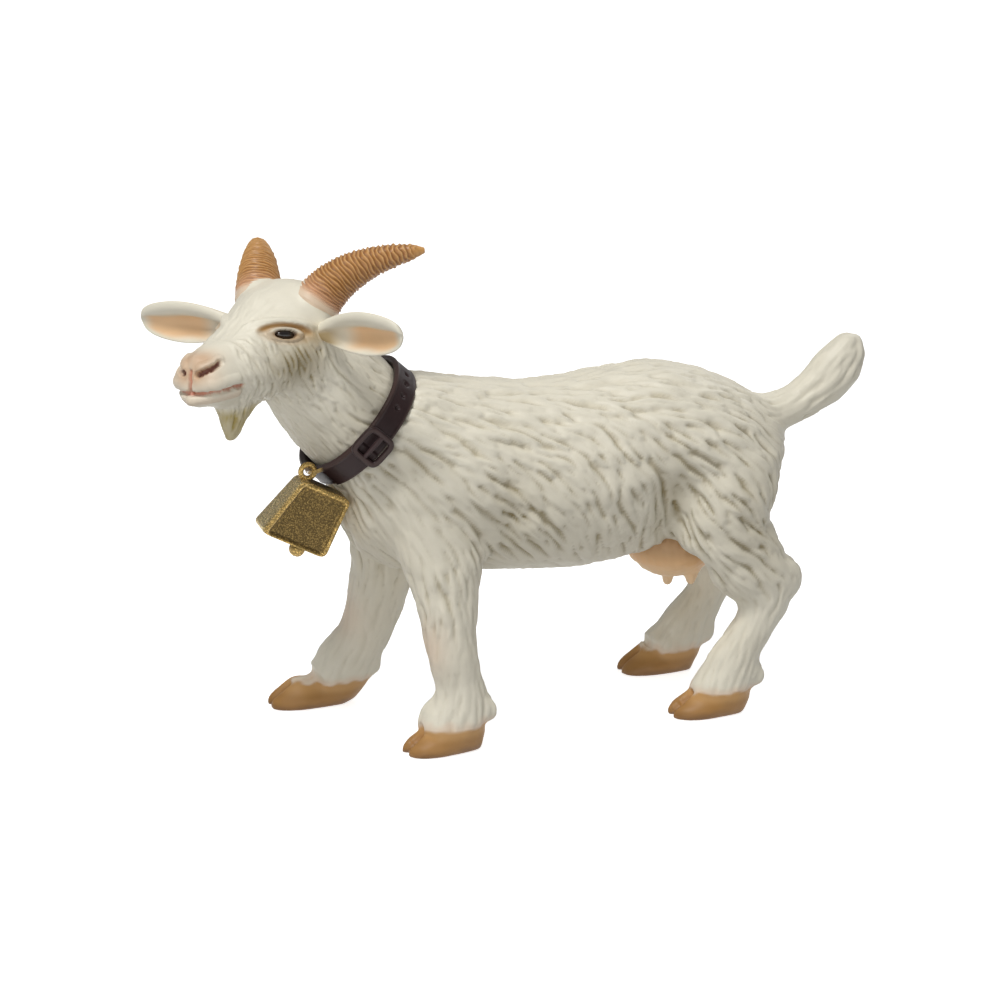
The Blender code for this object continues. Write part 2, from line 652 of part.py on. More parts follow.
# ---- Bell ---------------------------------------------------------------------------------------
def bell_box(name, inset, collection, pivot):
    """A box that flares downward from the crown; inset moves every wall inward."""
    crown, mouth = -BELL_CROWN_DROP - inset, -BELL_CROWN_DROP - BELL_HEIGHT
    front = inset - BELL_FRONT_REACH
    back = BELL_LENGTH - BELL_FRONT_REACH - inset
    if inset != 0:
        mouth -= abs(inset)  # a cutter runs past the mouth
    rings = []
    for z, low, high, half_depth in (
        (crown, front, back, BELL_TOP_DEPTH / 2 - inset),
        (mouth, front - BELL_FRONT_SPREAD, back + BELL_BACK_SPREAD, BELL_BOTTOM_DEPTH / 2 - inset),
    ):
        corners = ((low, -half_depth), (high, -half_depth), (high, half_depth), (low, half_depth))
        rings.append([Vector((x, y, z)) for x, y in corners])
    bm = bmesh.new()
    loft(bm, rings)
    return new_object(name, bm, collection, pivot)


def make_bell(torso, parts, cutters, parent):
    """The shell, its eye and its clapper, all about the pivot that the collar's ring carries."""
    pivot = bpy.data.objects.new("bell_pivot", None)
    pivot.empty_display_size = 0.004
    pivot.parent = parent
    pivot.location = BELL_PIVOT * MM
    pivot.rotation_euler = (0, BELL_TILT, 0)
    parts.objects.link(pivot)
    shell = bell_box("bell_shell", 0, parts, pivot)
    round_edges(shell, BELL_EDGE_RADIUS)
    hollow = bell_box("bell_hollow", BELL_WALL, cutters, pivot)
    boolean(shell, hollow, "DIFFERENCE")
    boolean(shell, bell_eye(cutters, pivot), "UNION")
    make_clapper(parts, cutters, pivot)
    clearance = bell_box("bell_clearance", -BELL_CLEARANCE, cutters, pivot)
    boolean(torso, clearance, "DIFFERENCE")


def bell_eye(cutters, pivot):
    """The ring on the crown; its hole lies on the pivot."""
    bpy.ops.mesh.primitive_torus_add(
        major_radius=EYE_RADIUS * MM, minor_radius=EYE_WIRE_RADIUS * MM,
        major_segments=EYE_SEGMENTS, minor_segments=EYE_WIRE_SEGMENTS,
    )
    eye = bpy.context.object
    eye.name = "bell_eye"
    for holder in list(eye.users_collection):
        holder.objects.unlink(eye)
    cutters.objects.link(eye)
    eye.parent = pivot
    eye.rotation_euler = (math.pi / 2, 0, 0)
    return eye


def make_clapper(parts, cutters, pivot):
    """A ball on a stem that reaches up to the crown."""
    bm = bmesh.new()
    bmesh.ops.create_uvsphere(
        bm, u_segments=CLAPPER_SEGMENTS, v_segments=CLAPPER_RINGS, radius=CLAPPER_RADIUS * MM
    )
    clapper = new_object("bell_clapper", bm, parts, pivot)
    clapper.location = Vector((CLAPPER_BACK, 0, -CLAPPER_DROP)) * MM
    top = -BELL_CROWN_DROP - BELL_WALL - 2 * GAP
    length = CLAPPER_DROP + top
    middle = Vector((CLAPPER_BACK, 0, top - length / 2))
    up = Vector((0, 0, 1))
    stem = cylinder(
        "clapper_stem", CLAPPER_STEM_RADIUS, length, middle, up, cutters, pivot, STEM_SEGMENTS
    )
    boolean(clapper, stem, "UNION")


def staple_curve(name, grow, collection, parent):
    """A U of wire: its bar lies on the bell's pivot and its legs end in the strap."""
    angle = math.asin(-BELL_PIVOT.y / COLLAR_HALF_WIDTH)
    root, along, tangent, out = on_collar(math.pi - angle, -STRAP_THICKNESS / 2)
    root = root - along * (STRAP_WIDTH / 2 - STAPLE_ROOT_INSET)
    side = Vector((0, STAPLE_HALF_SPAN, 0))
    lean = (BELL_PIVOT - root).normalized() * STAPLE_BEND
    near, far = BELL_PIVOT - side, BELL_PIVOT + side
    corner = Vector((0, STAPLE_BEND, 0))
    near_root = root - tangent * (STAPLE_HALF_SPAN * STAPLE_SPLAY)
    far_root = root + tangent * (STAPLE_HALF_SPAN * STAPLE_SPLAY)
    points = [near_root, near - lean, near + corner, far - corner, far - lean, far_root]
    curve = bpy.data.curves.new(name, "CURVE")
    curve.dimensions = "3D"
    curve.bevel_depth = (STAPLE_WIRE_RADIUS + grow) * MM
    curve.bevel_resolution = 2
    curve.use_fill_caps = True
    line = curve.splines.new("POLY")
    line.points.add(len(points) - 1)
    for spot, place in zip(line.points, points):
        spot.co = (*(place * MM), 1.0)
    wire = bpy.data.objects.new(f"{name}_curve", curve)
    collection.objects.link(wire)
    bpy.context.view_layer.update()
    mesh = baked_mesh(wire)
    bpy.data.objects.remove(wire)
    bm = bmesh.new()
    bm.from_mesh(mesh)
    bmesh.ops.remove_doubles(bm, verts=bm.verts, dist=WELD * MM)
    return new_object(name, bm, collection, parent)


def make_staple(parts, cutters, parent):
    staple_curve("bell_staple", 0, parts, parent)
    socket = staple_curve("staple_socket", GAP, cutters, parent)
    boolean(bpy.data.objects["collar_strap"], socket, "DIFFERENCE")


# ---- Paint --------------------------------------------------------------------------------------
def paint(name, colour, roughness, metallic=0.0):
    material = bpy.data.materials.new(name)
    material.use_nodes = True
    shader = material.node_tree.nodes["Principled BSDF"]
    shader.inputs["Base Color"].default_value = (*colour, 1.0)
    shader.inputs["Roughness"].default_value = roughness
    shader.inputs["Metallic"].default_value = metallic
    return material


SHARP_ANGLE = math.radians(35)  # edges sharper than this stay crisp
COATS = {
    # node: (red, green, blue), roughness, metallic
    "torso": ((0.80, 0.77, 0.70), 0.6, 0.0),
    "front_leg_left": ((0.80, 0.76, 0.69), 0.6, 0.0),
    "front_leg_right": ((0.80, 0.76, 0.69), 0.6, 0.0),
    "hind_leg_left": ((0.80, 0.76, 0.69), 0.6, 0.0),
    "hind_leg_right": ((0.80, 0.76, 0.69), 0.6, 0.0),
    "head": ((0.80, 0.76, 0.69), 0.6, 0.0),
    "tail": ((0.80, 0.77, 0.71), 0.6, 0.0),
    "ear_left": ((0.80, 0.68, 0.58), 0.6, 0.0),
    "ear_right": ((0.80, 0.68, 0.58), 0.6, 0.0),
    "horn_left": ((0.52, 0.28, 0.11), 0.55, 0.0),
    "horn_right": ((0.52, 0.28, 0.11), 0.55, 0.0),
    "udder": ((0.76, 0.47, 0.28), 0.55, 0.0),
    "collar_strap": ((0.028, 0.014, 0.012), 0.45, 0.0),
    "collar_buckle": ((0.022, 0.013, 0.012), 0.4, 0.0),
    "buckle_prong": ((0.030, 0.016, 0.014), 0.4, 0.0),
    "bell_shell": ((0.30, 0.20, 0.06), 0.4, 0.7),
    "bell_clapper": ((0.40, 0.28, 0.11), 0.4, 0.7),
    "bell_staple": ((0.36, 0.25, 0.10), 0.4, 0.7),
}


def paint_all(parts):
    """Gives each moulding its own coat of paint, and shades the round ones smooth."""
    for piece in parts.objects:
        if piece.type != "MESH":
            continue
        piece.data.materials.clear()
        piece.data.materials.append(paint(f"{piece.name}_paint", *COATS[piece.name]))
        piece.data.shade_smooth()
        piece.data.set_sharp_from_angle(angle=SHARP_ANGLE)


def clear_scene():
    for old in list(bpy.data.objects):
        bpy.data.objects.remove(old)


def main():
    clear_scene()
    parts = bpy.data.collections.new("goat_figurine")
    cutters = bpy.data.collections.new("cutters")
    bpy.context.scene.collection.children.link(parts)
    bpy.context.scene.collection.children.link(cutters)
    goat = bpy.data.objects.new("goat_origin", None)
    parts.objects.link(goat)
    form = sculpted_form(cutters, None)
    mesh = baked_mesh(form)
    torso = moulding("torso", mesh, parts, goat)
    legs = [make_leg(name, mesh, torso, parts, cutters, goat) for name in LEGS]
    make_tail(mesh, torso, parts, cutters, goat)
    head = make_head(mesh, torso, parts, cutters, goat)
    make_ears_and_horns(head, parts, cutters, goat)
    make_udder(torso, legs, parts, cutters, goat)
    make_collar(torso, head, parts, cutters, goat)
    make_buckle(parts, cutters, goat)
    make_bell(torso, parts, cutters, goat)
    make_staple(parts, cutters, goat)
    paint_all(parts)
    goat.location = Vector((-ORIGIN[0], -ORIGIN[1], 0)) * MM
    for cutter in cutters.objects:
        cutter.hide_render = True
        cutter.display_type = "WIRE"


main()
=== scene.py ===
"""Looks of the goat figurine: sculpted fur and face, painted mouldings, collar and cowbell.

Lengths are in millimetres where a name or a comment doesn't say otherwise. MM turns them into
metres. The goat faces -X, -Y is its own left side and +Z is up. Most places are given in the
sculptor's coordinates, whose origin lies under the withers, and SHIFT moves them into the frame.
"""

import math

import bmesh
import bpy
import numpy as np
from mathutils import Matrix, Vector
from mathutils.kdtree import KDTree


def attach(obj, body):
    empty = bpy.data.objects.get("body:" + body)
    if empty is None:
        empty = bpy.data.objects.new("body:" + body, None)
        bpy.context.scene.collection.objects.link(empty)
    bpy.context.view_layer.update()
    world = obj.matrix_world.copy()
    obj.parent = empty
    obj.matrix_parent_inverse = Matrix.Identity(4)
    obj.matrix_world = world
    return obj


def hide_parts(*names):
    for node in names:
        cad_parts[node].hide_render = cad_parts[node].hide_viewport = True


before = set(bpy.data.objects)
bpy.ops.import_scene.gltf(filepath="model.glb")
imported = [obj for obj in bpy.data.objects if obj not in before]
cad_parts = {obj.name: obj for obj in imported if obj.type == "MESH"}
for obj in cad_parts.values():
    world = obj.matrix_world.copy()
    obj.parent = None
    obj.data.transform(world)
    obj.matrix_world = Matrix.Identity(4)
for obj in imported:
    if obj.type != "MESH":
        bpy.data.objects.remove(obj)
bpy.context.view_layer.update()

MM = 0.001
SHIFT = np.array([-3.355, 1.87, 0.0])

# ---- Sculpting resolution -----------------------------------------------------------------------
CLOSING = 0.35  # how far the joined mouldings swell, so that their joint lines close
COARSE_VOXEL, BODY_VOXEL, HEAD_VOXEL, UDDER_VOXEL = 0.4, 0.26, 0.16, 0.22
FORM_SMOOTHING, SKIN_SMOOTHING, UDDER_SMOOTHING = 6, 3, 5
LINE_STEP = 0.35  # spacing of a line's spots, as a share of its reach
LOCK_STEP = 0.28  # spacing of a lock's spots
COAT_RISE, HEAD_COAT_RISE = 1.0, 0.6  # height of the tallest locks
BODY_LOCK_SPACING, HEAD_LOCK_SPACING = 1.35, 0.95
BODY_WANDER, HEAD_WANDER = 0.07, 0.12  # how much a lock bends on its way
SEED = 7

# ---- Places of the mouldings, as the frame has them ---------------------------------------------
HIND_LEGS_FROM = 17.0
FRONT_LEGS_TO = 1.0
TAIL_CUT, TAIL_AXIS = np.array([37.3, 0.0, 37.2]), np.array([0.93, 0.0, 0.37])
NECK_CUT, NECK_AXIS = np.array([-18.5, 0.0, 40.65]), np.array([-0.74, 0.0, 0.673])
HEAD_ORIGIN = Vector((-31.0, -4.2, 53.4))
HEAD_YAW, HEAD_ROLL = math.radians(37), math.radians(5)


# ---- Frames and small helpers -------------------------------------------------------------------
def head_matrix():
    turn = Matrix.Rotation(math.pi + HEAD_YAW, 4, "Z") @ Matrix.Rotation(HEAD_ROLL, 4, "X")
    return Matrix.Translation(HEAD_ORIGIN) @ turn


HEAD = head_matrix()
HEAD_TURN = np.array(HEAD.to_3x3())


def head_points(points):
    """Points of the head's frame (+X muzzle, +Y left, +Z crown) in the sculptor's coordinates."""
    return [np.array(HEAD @ Vector(p)) for p in points]


def to_head(points):
    return (points - np.array(HEAD_ORIGIN)) @ HEAD_TURN


def placed(rows, turn, origin):
    """Points of a turned frame, in rows of any shape, in the sculptor's coordinates."""
    rows = np.asarray(rows)
    return (rows.reshape(-1, 3) @ turn.T + np.array(origin)).reshape(rows.shape)


def in_frame(point):
    return Vector(((np.array(point) + SHIFT) * MM).tolist())


def smoothstep(low, high, value):
    t = np.clip((value - low) / (high - low), 0.0, 1.0)
    return t * t * (3 - 2 * t)


def unit(v):
    return v / np.maximum(np.linalg.norm(v, axis=-1, keepdims=True), 1e-12)


def link(obj):
    bpy.context.scene.collection.objects.link(obj)
    return obj


def evaluated_copy(obj, name):
    """A new mesh with the object's modifiers applied."""
    depsgraph = bpy.context.evaluated_depsgraph_get()
    mesh = bpy.data.meshes.new_from_object(obj.evaluated_get(depsgraph), depsgraph=depsgraph)
    mesh.name = name
    return mesh


def read(items, field, width, kind=float):
    """One field of a mesh's items, as rows of numbers."""
    flat = np.empty(len(items) * width, dtype=kind)
    items.foreach_get(field, flat)
    return flat.reshape(-1, width)


def read_points(mesh):
    """Vertices in the sculptor's coordinates."""
    return read(mesh.vertices, "co", 3) / MM - SHIFT


def write_points(mesh, points):
    mesh.vertices.foreach_set("co", ((points + SHIFT) * MM).ravel())
    mesh.update()


def write_colour(mesh, colour):
    layer = mesh.attributes.new("paint", "FLOAT_COLOR", "POINT")
    rgba = np.ones((len(colour), 4), dtype=np.float32)
    rgba[:, :3] = colour
    layer.data.foreach_set("color", rgba.ravel())


def mesh_of(bm, name):
    """The mesh of a finished bmesh, which is freed."""
    mesh = bpy.data.meshes.new(name)
    bm.to_mesh(mesh)
    bm.free()
    return mesh


def averaged(values, edges, rounds, share=0.5):
    """Smooths a value of each vertex over its neighbours."""
    values = values.copy()
    count = np.bincount(edges.ravel(), minlength=len(values)).astype(float)
    count = np.maximum(count, 1)
    if values.ndim == 2:
        count = count[:, None]
    for _ in range(rounds):
        total = np.zeros_like(values)
        np.add.at(total, edges[:, 0], values[edges[:, 1]])
        np.add.at(total, edges[:, 1], values[edges[:, 0]])
        values = values * (1 - share) + total / count * share
    return values


# ---- The white form -----------------------------------------------------------------------------
WHITE_NODES = [
    "torso", "front_leg_left", "front_leg_right", "hind_leg_left", "hind_leg_right", "head", "tail",
]
# Small forms that the mouldings have and the collision shapes don't: middle and radii
EXTRAS = [
    ((35.4, -8.5, 17.3), (2.5, 2.3, 3.0)), ((34.2, 8.5, 16.8), (2.4, 2.3, 2.8)),
    ((-4.9, -11.2, 5.0), (1.1, 0.9, 1.5)), ((-4.9, -8.8, 5.0), (1.1, 0.9, 1.5)),
    ((-14.6, 11.2, 5.0), (1.2, 0.9, 1.5)), ((-14.6, 8.8, 5.0), (1.2, 0.9, 1.5)),
    ((31.8, -9.7, 4.9), (1.2, 0.9, 1.5)), ((31.8, -7.3, 4.9), (1.2, 0.9, 1.5)),
    ((31.6, 9.7, 5.2), (1.2, 0.9, 1.5)), ((31.6, 7.3, 5.2), (1.2, 0.9, 1.5)),
]
# Plugs in the head's sockets, in its own frame
HEAD_EXTRAS = [((-4.9, 4.2, 3.0), 2.7), ((-3.2, 5.6, -0.1), 1.7)]


def add_ellipsoid(bm, middle, radii):
    made = bmesh.ops.create_uvsphere(bm, u_segments=24, v_segments=16, radius=1)["verts"]
    bmesh.ops.scale(bm, vec=Vector(radii) * MM, verts=made)
    bmesh.ops.translate(bm, vec=in_frame(middle), verts=made)


def joined_nodes():
    bm = bmesh.new()
    for name in WHITE_NODES:
        bm.from_mesh(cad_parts[name].data)
    bmesh.ops.remove_doubles(bm, verts=bm.verts, dist=1e-7)
    for middle, radii in EXTRAS:
        add_ellipsoid(bm, middle, radii)
    for middle, radius in HEAD_EXTRAS:
        for place in both_sides([middle]):
            add_ellipsoid(bm, head_points(place)[0], (radius, radius, radius))
    mesh = mesh_of(bm, "white_form")
    mesh.materials.clear()
    return link(bpy.data.objects.new("white_form", mesh))


def add_step(form, kind, size, smoothing=0):
    """A swelling or shrinking of the form, or its remeshing with some smoothing."""
    if kind == "DISPLACE":
        step = form.modifiers.new("swell", kind)
        step.strength = size * MM
        step.mid_level = 0
        return
    step = form.modifiers.new("melt", kind)
    step.mode = "VOXEL"
    step.voxel_size = size * MM
    form.modifiers.new("smooth", "SMOOTH").iterations = smoothing


def coarse_form():
    """One closed skin over the white mouldings, with their joint lines closed."""
    form = joined_nodes()
    add_step(form, "DISPLACE", CLOSING)
    add_step(form, "REMESH", COARSE_VOXEL, FORM_SMOOTHING)
    add_step(form, "DISPLACE", -CLOSING)
    mesh = evaluated_copy(form, "coarse_form")
    bpy.data.objects.remove(form)
    return link(bpy.data.objects.new("coarse_form", mesh))


def melted(mesh, name, voxel, smoothing):
    """One closed skin over a mesh's overlapping parts."""
    form = link(bpy.data.objects.new(f"{name}_form", mesh))
    add_step(form, "REMESH", voxel, smoothing)
    made = evaluated_copy(form, name)
    bpy.data.objects.remove(form)
    made.shade_smooth()
    return made


def slice_at(bm, point, normal, **options):
    geometry = bm.verts[:] + bm.edges[:] + bm.faces[:]
    bmesh.ops.bisect_plane(
        bm, geom=geometry, plane_co=in_frame(point), plane_no=Vector(normal), **options
    )


def close_holes(bm):
    bmesh.ops.holes_fill(bm, edges=[e for e in bm.edges if e.is_boundary], sides=0)


def refined(form, voxel, cut=None):
    """A denser copy of the form, or of what lies behind one cut."""
    bm = bmesh.new()
    bm.from_mesh(form.data)
    if cut is not None:
        slice_at(bm, *cut, clear_outer=True)
        close_holes(bm)
    return melted(mesh_of(bm, "refined"), "refined", voxel, SKIN_SMOOTHING)


# ---- Marks and fur ------------------------------------------------------------------------------
def folded(points):
    """Points with those of one side mirrored onto the other."""
    return np.abs(points) * (0, 1, 0) + points * (1, 0, 1)


def falloff(offset, radii):
    """1 in the middle, fading to 0 over the radii."""
    return np.exp(-((offset / radii) ** 2).sum(1))


def near(points, place, radii):
    """1 at a place, fading to 0 over the radii, on both sides of the goat."""
    return falloff(folded(points) - place, radii)


def bump_at(value, middle, reach):
    return np.clip(1 - ((value - middle) / reach) ** 2, 0, 1)


def both_sides(points):
    """A path and its mirror image across the middle of the frame it is given in."""
    return [points, [(x, -y, z) for x, y, z in points]]


class Skin:
    """A dense mesh under the sculptor's tools, with its points in millimetres."""

    def __init__(self, mesh):
        self.mesh = mesh
        self.edges = read(mesh.edges, "vertices", 2, np.int64)
        self.points = read_points(mesh)
        self.refresh()

    def refresh(self):
        write_points(self.mesh, self.points)
        self.normals = read(self.mesh.vertex_normals, "vector", 3)
        self.smooth_normals = unit(averaged(self.normals, self.edges, 6))
        self.tree = KDTree(len(self.points))
        for i, point in enumerate(self.points):
            self.tree.insert(point, i)
        self.tree.balance()

    def raise_by(self, amount):
        """Moves each vertex outward by its own amount."""
        self.points = self.points + self.smooth_normals * amount[:, None]

    def push(self, place, radii, amount):
        """Moves the skin round a place, outward where the amount is positive."""
        self.raise_by(falloff(self.points - place, radii) * amount)

    def near_line(self, path, reach):
        """How near each vertex is to a line on the skin: 1 on it, 0 from the reach outward."""
        path = np.array(path)
        spots = []
        for a, b in zip(path, path[1:]):
            count = max(2, int(np.linalg.norm(b - a) / (reach * LINE_STEP)) + 1)
            spots.append(a + (b - a) * np.linspace(0, 1, count)[:, None])
        spots = np.concatenate(spots)
        share = np.zeros(len(self.points))
        for spot in spots:
            place, _, _ = self.tree.find(spot)
            for _, i, distance in self.tree.find_range(place, reach):
                share[i] = max(share[i], 1 - (distance / reach) ** 2)
        return share

    def mark(self, path, reach, amount):
        """A groove or a ridge along a line on the skin; returns how near each vertex is to it."""
        share = self.near_line(path, reach)
        self.raise_by(share * amount)
        return share


def comb(skin, seeds, flow, length, wander, rng):
    """Follows the fur's flow from each seed; gives each lock's centre line."""
    paths = []
    for seed in seeds:
        place = skin.points[seed]
        bend = rng.normal(0, wander)
        span = length[seed] * rng.uniform(0.7, 1.25)
        path = []
        for _ in range(max(4, int(span / LOCK_STEP))):
            _, i, _ = skin.tree.find(place)
            normal = skin.smooth_normals[i]
            place = place - normal * np.dot(place - skin.points[i], normal)
            heading = flow[i] + np.cross(normal, flow[i]) * bend
            heading = heading - normal * heading.dot(normal)
            heading = heading / max(np.linalg.norm(heading), 1e-9)
            path.append((place, heading, normal))
            place = place + heading * LOCK_STEP
            bend += rng.normal(0, wander * 0.25)
        paths.append(path)
    return paths


def scattered(skin, spacing, wanted, rng):
    """One vertex from each cell of a grid, where the coat is wanted."""
    order = rng.permutation(np.flatnonzero(wanted))
    cells = np.floor(skin.points[order] / spacing).astype(np.int64)
    _, first = np.unique(cells, axis=0, return_index=True)
    return order[np.sort(first)]


def locks(skin, spacing, flow, length, width, rise, wander, rng):
    """Height of a coat of overlapping tapered locks, for every vertex."""
    seeds = scattered(skin, spacing, rise > 0.02, rng)
    paths = comb(skin, seeds, flow, length, wander, rng)
    index, place, side, ahead, reach, top = [], [], [], [], [], []
    for seed, path in zip(seeds, paths):
        strength = rng.uniform(0.55, 1.0)
        breadth = width[seed] * rng.uniform(0.75, 1.3)
        for step, (spot, heading, normal) in enumerate(path):
            s = step / (len(path) - 1)
            taper = min(1.0, s / 0.3) ** 0.6 * math.sqrt(max(0.0, 1 - s**3))
            wide = breadth * max(0.25, taper)
            found = [i for _, i, _ in skin.tree.find_range(spot, wide + LOCK_STEP * 0.6)]
            index.append(found)
            place.append(np.repeat(spot[None], len(found), 0))
            side.append(np.repeat(np.cross(normal, heading)[None], len(found), 0))
            ahead.append(np.repeat(heading[None], len(found), 0))
            reach.append(np.full(len(found), wide))
            full = 0.35 + 0.65 * min(1.0, s / 0.55)
            top.append(np.full(len(found), strength * full * min(1, (1 - s) * 6)))
    index = np.concatenate([np.array(i, dtype=np.int64) for i in index])
    offset = skin.points[index] - np.concatenate(place)
    across = (offset * np.concatenate(side)).sum(1) / np.concatenate(reach)
    along = (offset * np.concatenate(ahead)).sum(1)
    value = np.concatenate(top) * np.clip(1 - across**2, 0, 1) * (np.abs(along) < LOCK_STEP)
    height = np.zeros(len(skin.points))
    np.maximum.at(height, index, value)
    return height * rise


def grown(skin, height, rise):
    """Raises the skin by a coat's height and gives back how deep each point lies among the locks."""
    height = averaged(height, skin.edges, 2)
    skin.raise_by(height - rise * 0.5)
    return averaged(height, skin.edges, 9) - height


def along_skin(skin, flow):
    """The part of a flow that lies in the skin, as unit vectors."""
    return unit(flow - skin.smooth_normals * (flow * skin.smooth_normals).sum(1)[:, None])


# ---- The torso, legs and tail -------------------------------------------------------------------
# Flow of the fur, seen from the side: (x, z, degrees below the way to the tail)
FLOW = [
    (-27, 50, 55), (-22, 44, 48), (-16, 44, 30), (-12, 40.3, 28), (-12, 34, 42), (-13.4, 28.5, 55),
    (-10, 22, 75), (-2.8, 43.3, 20), (-3, 34, 42), (-3, 27, 50), (3.8, 38.8, 35), (3, 30, 50),
    (7.8, 33.1, 50), (10.4, 30.3, 66), (10.4, 23.7, 76), (15.8, 43, 24), (23.7, 40.9, 20),
    (15.8, 36.4, 55), (23.7, 35.6, 40), (18, 28, 70), (26.4, 28.8, 46), (29, 23.3, 38), (32, 36, 50),
    (35, 30, 78), (31.6, 17.7, 48), (34, 14, 110), (30, 8, 112), (-9, 12, 88), (-9, 6, 96),
    (-14, 13, 100), (-18, 6, 118), (38, 37, -14), (42, 39, -30), (46, 43, -48), (48, 47, -58),
]
# Soft forms: (x, |y|, z), radii, and how far the skin moves outward
FORMS = [
    ((20.2, 10.0, 29.5), (3.4, 5.0, 5.2), -1.5),
    ((29.0, 9.5, 30.5), (5.0, 5.0, 7.0), 0.6),
    ((-1.5, 10.0, 30.5), (2.6, 5.0, 5.0), -0.8),
    ((-11.0, 9.5, 30.5), (4.6, 5.0, 6.0), 0.5),
    ((-16.5, 7.5, 37.0), (1.8, 4.0, 3.4), -0.6),
    ((9.0, 11.0, 31.0), (6.0, 4.0, 7.0), 0.3),
    ((22.5, 7.0, 19.5), (4.5, 3.6, 2.2), -1.7),
    ((21.0, 5.0, 43.8), (3.0, 2.5, 1.6), 0.35),
    ((-9.0, 4.0, 44.5), (4.0, 2.5, 1.6), 0.3),
]
# Olive shadows painted into the coat: (x, |y|, z), radii, strength
SHADES = [
    ((19.6, 9.5, 29.0), (2.6, 5.0, 6.5), 0.75),
    ((-1.0, 9.5, 29.5), (3.2, 5.0, 5.5), 0.5),
    ((-15.0, 8.0, 36.5), (3.6, 5.0, 3.0), 0.55),
    ((8.0, 9.5, 24.0), (9.0, 6.0, 3.0), 0.1),
    ((31.5, 9.0, 24.0), (4.0, 6.0, 7.0), 0.45),
    ((28.0, 7.0, 17.5), (4.0, 6.0, 3.5), 0.45),
    ((-9.0, 10.0, 12.0), (3.0, 4.0, 7.0), 0.35),
    ((-15.0, 8.0, 16.0), (4.0, 5.0, 6.0), 0.3),
    ((24.0, 4.0, 20.5), (8.0, 6.0, 3.0), 0.2),
    ((30.0, 8.0, 8.0), (3.0, 4.0, 4.0), 0.4),
]
KNEES = [(-12.6, -10.5, 13.6), (-17.6, 9.5, 12.4)]
# white coat paint, and the olive of its wash and of its painted shade
WHITE, OLIVE = np.array([(0.84, 0.79, 0.65), (0.26, 0.20, 0.085)])
PEACH = np.array([0.80, 0.52, 0.34])
HOOF_DARK, HOOF_TAN = np.array([(0.20, 0.09, 0.022), (0.41, 0.205, 0.055)])
HOOF_PALE = np.array([0.58, 0.32, 0.11])
CORONET = 3.3  # height of the hooves' upper edge
CORONET_WAVE = 0.25
# Hooves, as the frame has them: heel (x, y), how far the toe turns towards -Y, in degrees, and how
# strongly its front slopes
HOOVES = [(-6.2, -9.5, 8.0, 0.4), (-18.6, 10.6, 0.0, 1.0), (30.0, -7.8, 4.0, 0.4), (29.2, 8.9, 0.0, 1.0)]
HOOF_LENGTH = 9.8
BELLY_MIDDLE, BELLY_HALF_LENGTH = 4, 13  # between the legs, along X


def waves(points, seed, size):
    """A cheap smooth random field, from -1 to 1."""
    rng = np.random.default_rng(seed)
    total = np.zeros(len(points))
    for _ in range(7):
        turn = rng.normal(size=3)
        turn = turn / np.linalg.norm(turn) / size * rng.uniform(0.6, 1.7)
        total += np.sin(points @ turn * 2 * math.pi + rng.uniform(0, 6.3))
    return total / 3.2


def mixed(colour, other, share):
    share = np.clip(share, 0, 1)[..., None]
    return colour * (1 - share) + other * share


def layered(colour, *layers):
    """A colour with others laid over it, each by its own share."""
    for other, share in layers:
        colour = mixed(colour, other, share)
    return colour


def up_neck(points):
    """How far each point lies beyond the neck's cut, towards the head."""
    return (points - NECK_CUT) @ NECK_AXIS


def coronet_height(points):
    """Height over the floor, a little wavy, so that the coat's lower edge is not a straight line."""
    return points[:, 2] + CORONET_WAVE * waves(points, 5, 2.5)


def body_flow(skin):
    guides = np.array(FLOW, dtype=float)
    angles = np.radians(guides[:, 2])
    weight = 1 / (((skin.points[:, None, [0, 2]] - guides[None, :, :2]) ** 2).sum(2) + 2.0) ** 2
    weight = weight / weight.sum(1, keepdims=True)
    east, south = weight @ np.cos(angles), weight @ np.sin(angles)
    swirl = waves(skin.points, 11, 9.0) * 0.16
    return along_skin(skin, np.stack([east, swirl * 0.5, -south + swirl * 0.4], 1))


def coat_strength(skin):
    """How deep the coat is carved: full on the flanks, shallow on shoulder, legs and neck."""
    x, _, z = skin.points.T
    over_belly = np.abs(x - BELLY_MIDDLE) < BELLY_HALF_LENGTH
    strength = 1 - 0.72 * near(skin.points, (-14.0, 9.0, 27.0), (5.5, 7.0, 8.0))
    strength *= 1 - 0.35 * smoothstep(0.75, 0.95, skin.smooth_normals[:, 2]) * (z > 36)
    strength *= 1 - 0.65 * smoothstep(25.0, 20.0, z) * over_belly
    strength *= 1 - 0.72 * smoothstep(22.0, 13.0, z) * ~over_belly
    strength *= 1 - 0.5 * smoothstep(33.0, 37.0, x) * smoothstep(22.0, 26.0, z)
    strength *= 1 - 0.5 * smoothstep(-3.0, 1.5, up_neck(skin.points))
    return strength * smoothstep(CORONET - 0.15, CORONET + 0.35, coronet_height(skin.points))


def sculpt_hooves(skin):
    """Splits each toe, hollows the heel and slopes the front up to the pastern."""
    for heel_x, heel_y, angle, slope in HOOVES:
        turn = math.radians(angle)
        ahead = np.array([-math.cos(turn), -math.sin(turn), 0.0])
        heel = np.array([heel_x, heel_y, 0.0])
        toe = heel + ahead * HOOF_LENGTH
        top = toe - ahead * 2.6 + (0, 0, CORONET)
        skin.mark([toe + (0, 0, 0.1), toe - ahead * 0.6 + (0, 0, 1.4), top], 0.75, -0.75)
        skin.push(heel - ahead * 0.2 + (0, 0, 3.1), (1.6, 2.4, 0.7), -0.7)
        skin.push(heel + ahead * 3.9 + (0, 0, 6.2), (1.8, 3.2, 1.8), -0.8 * slope)
        skin.push(heel + ahead * 6.6 + (0, 0, 3.3), (2.4, 2.8, 1.2), 1.3 * slope)


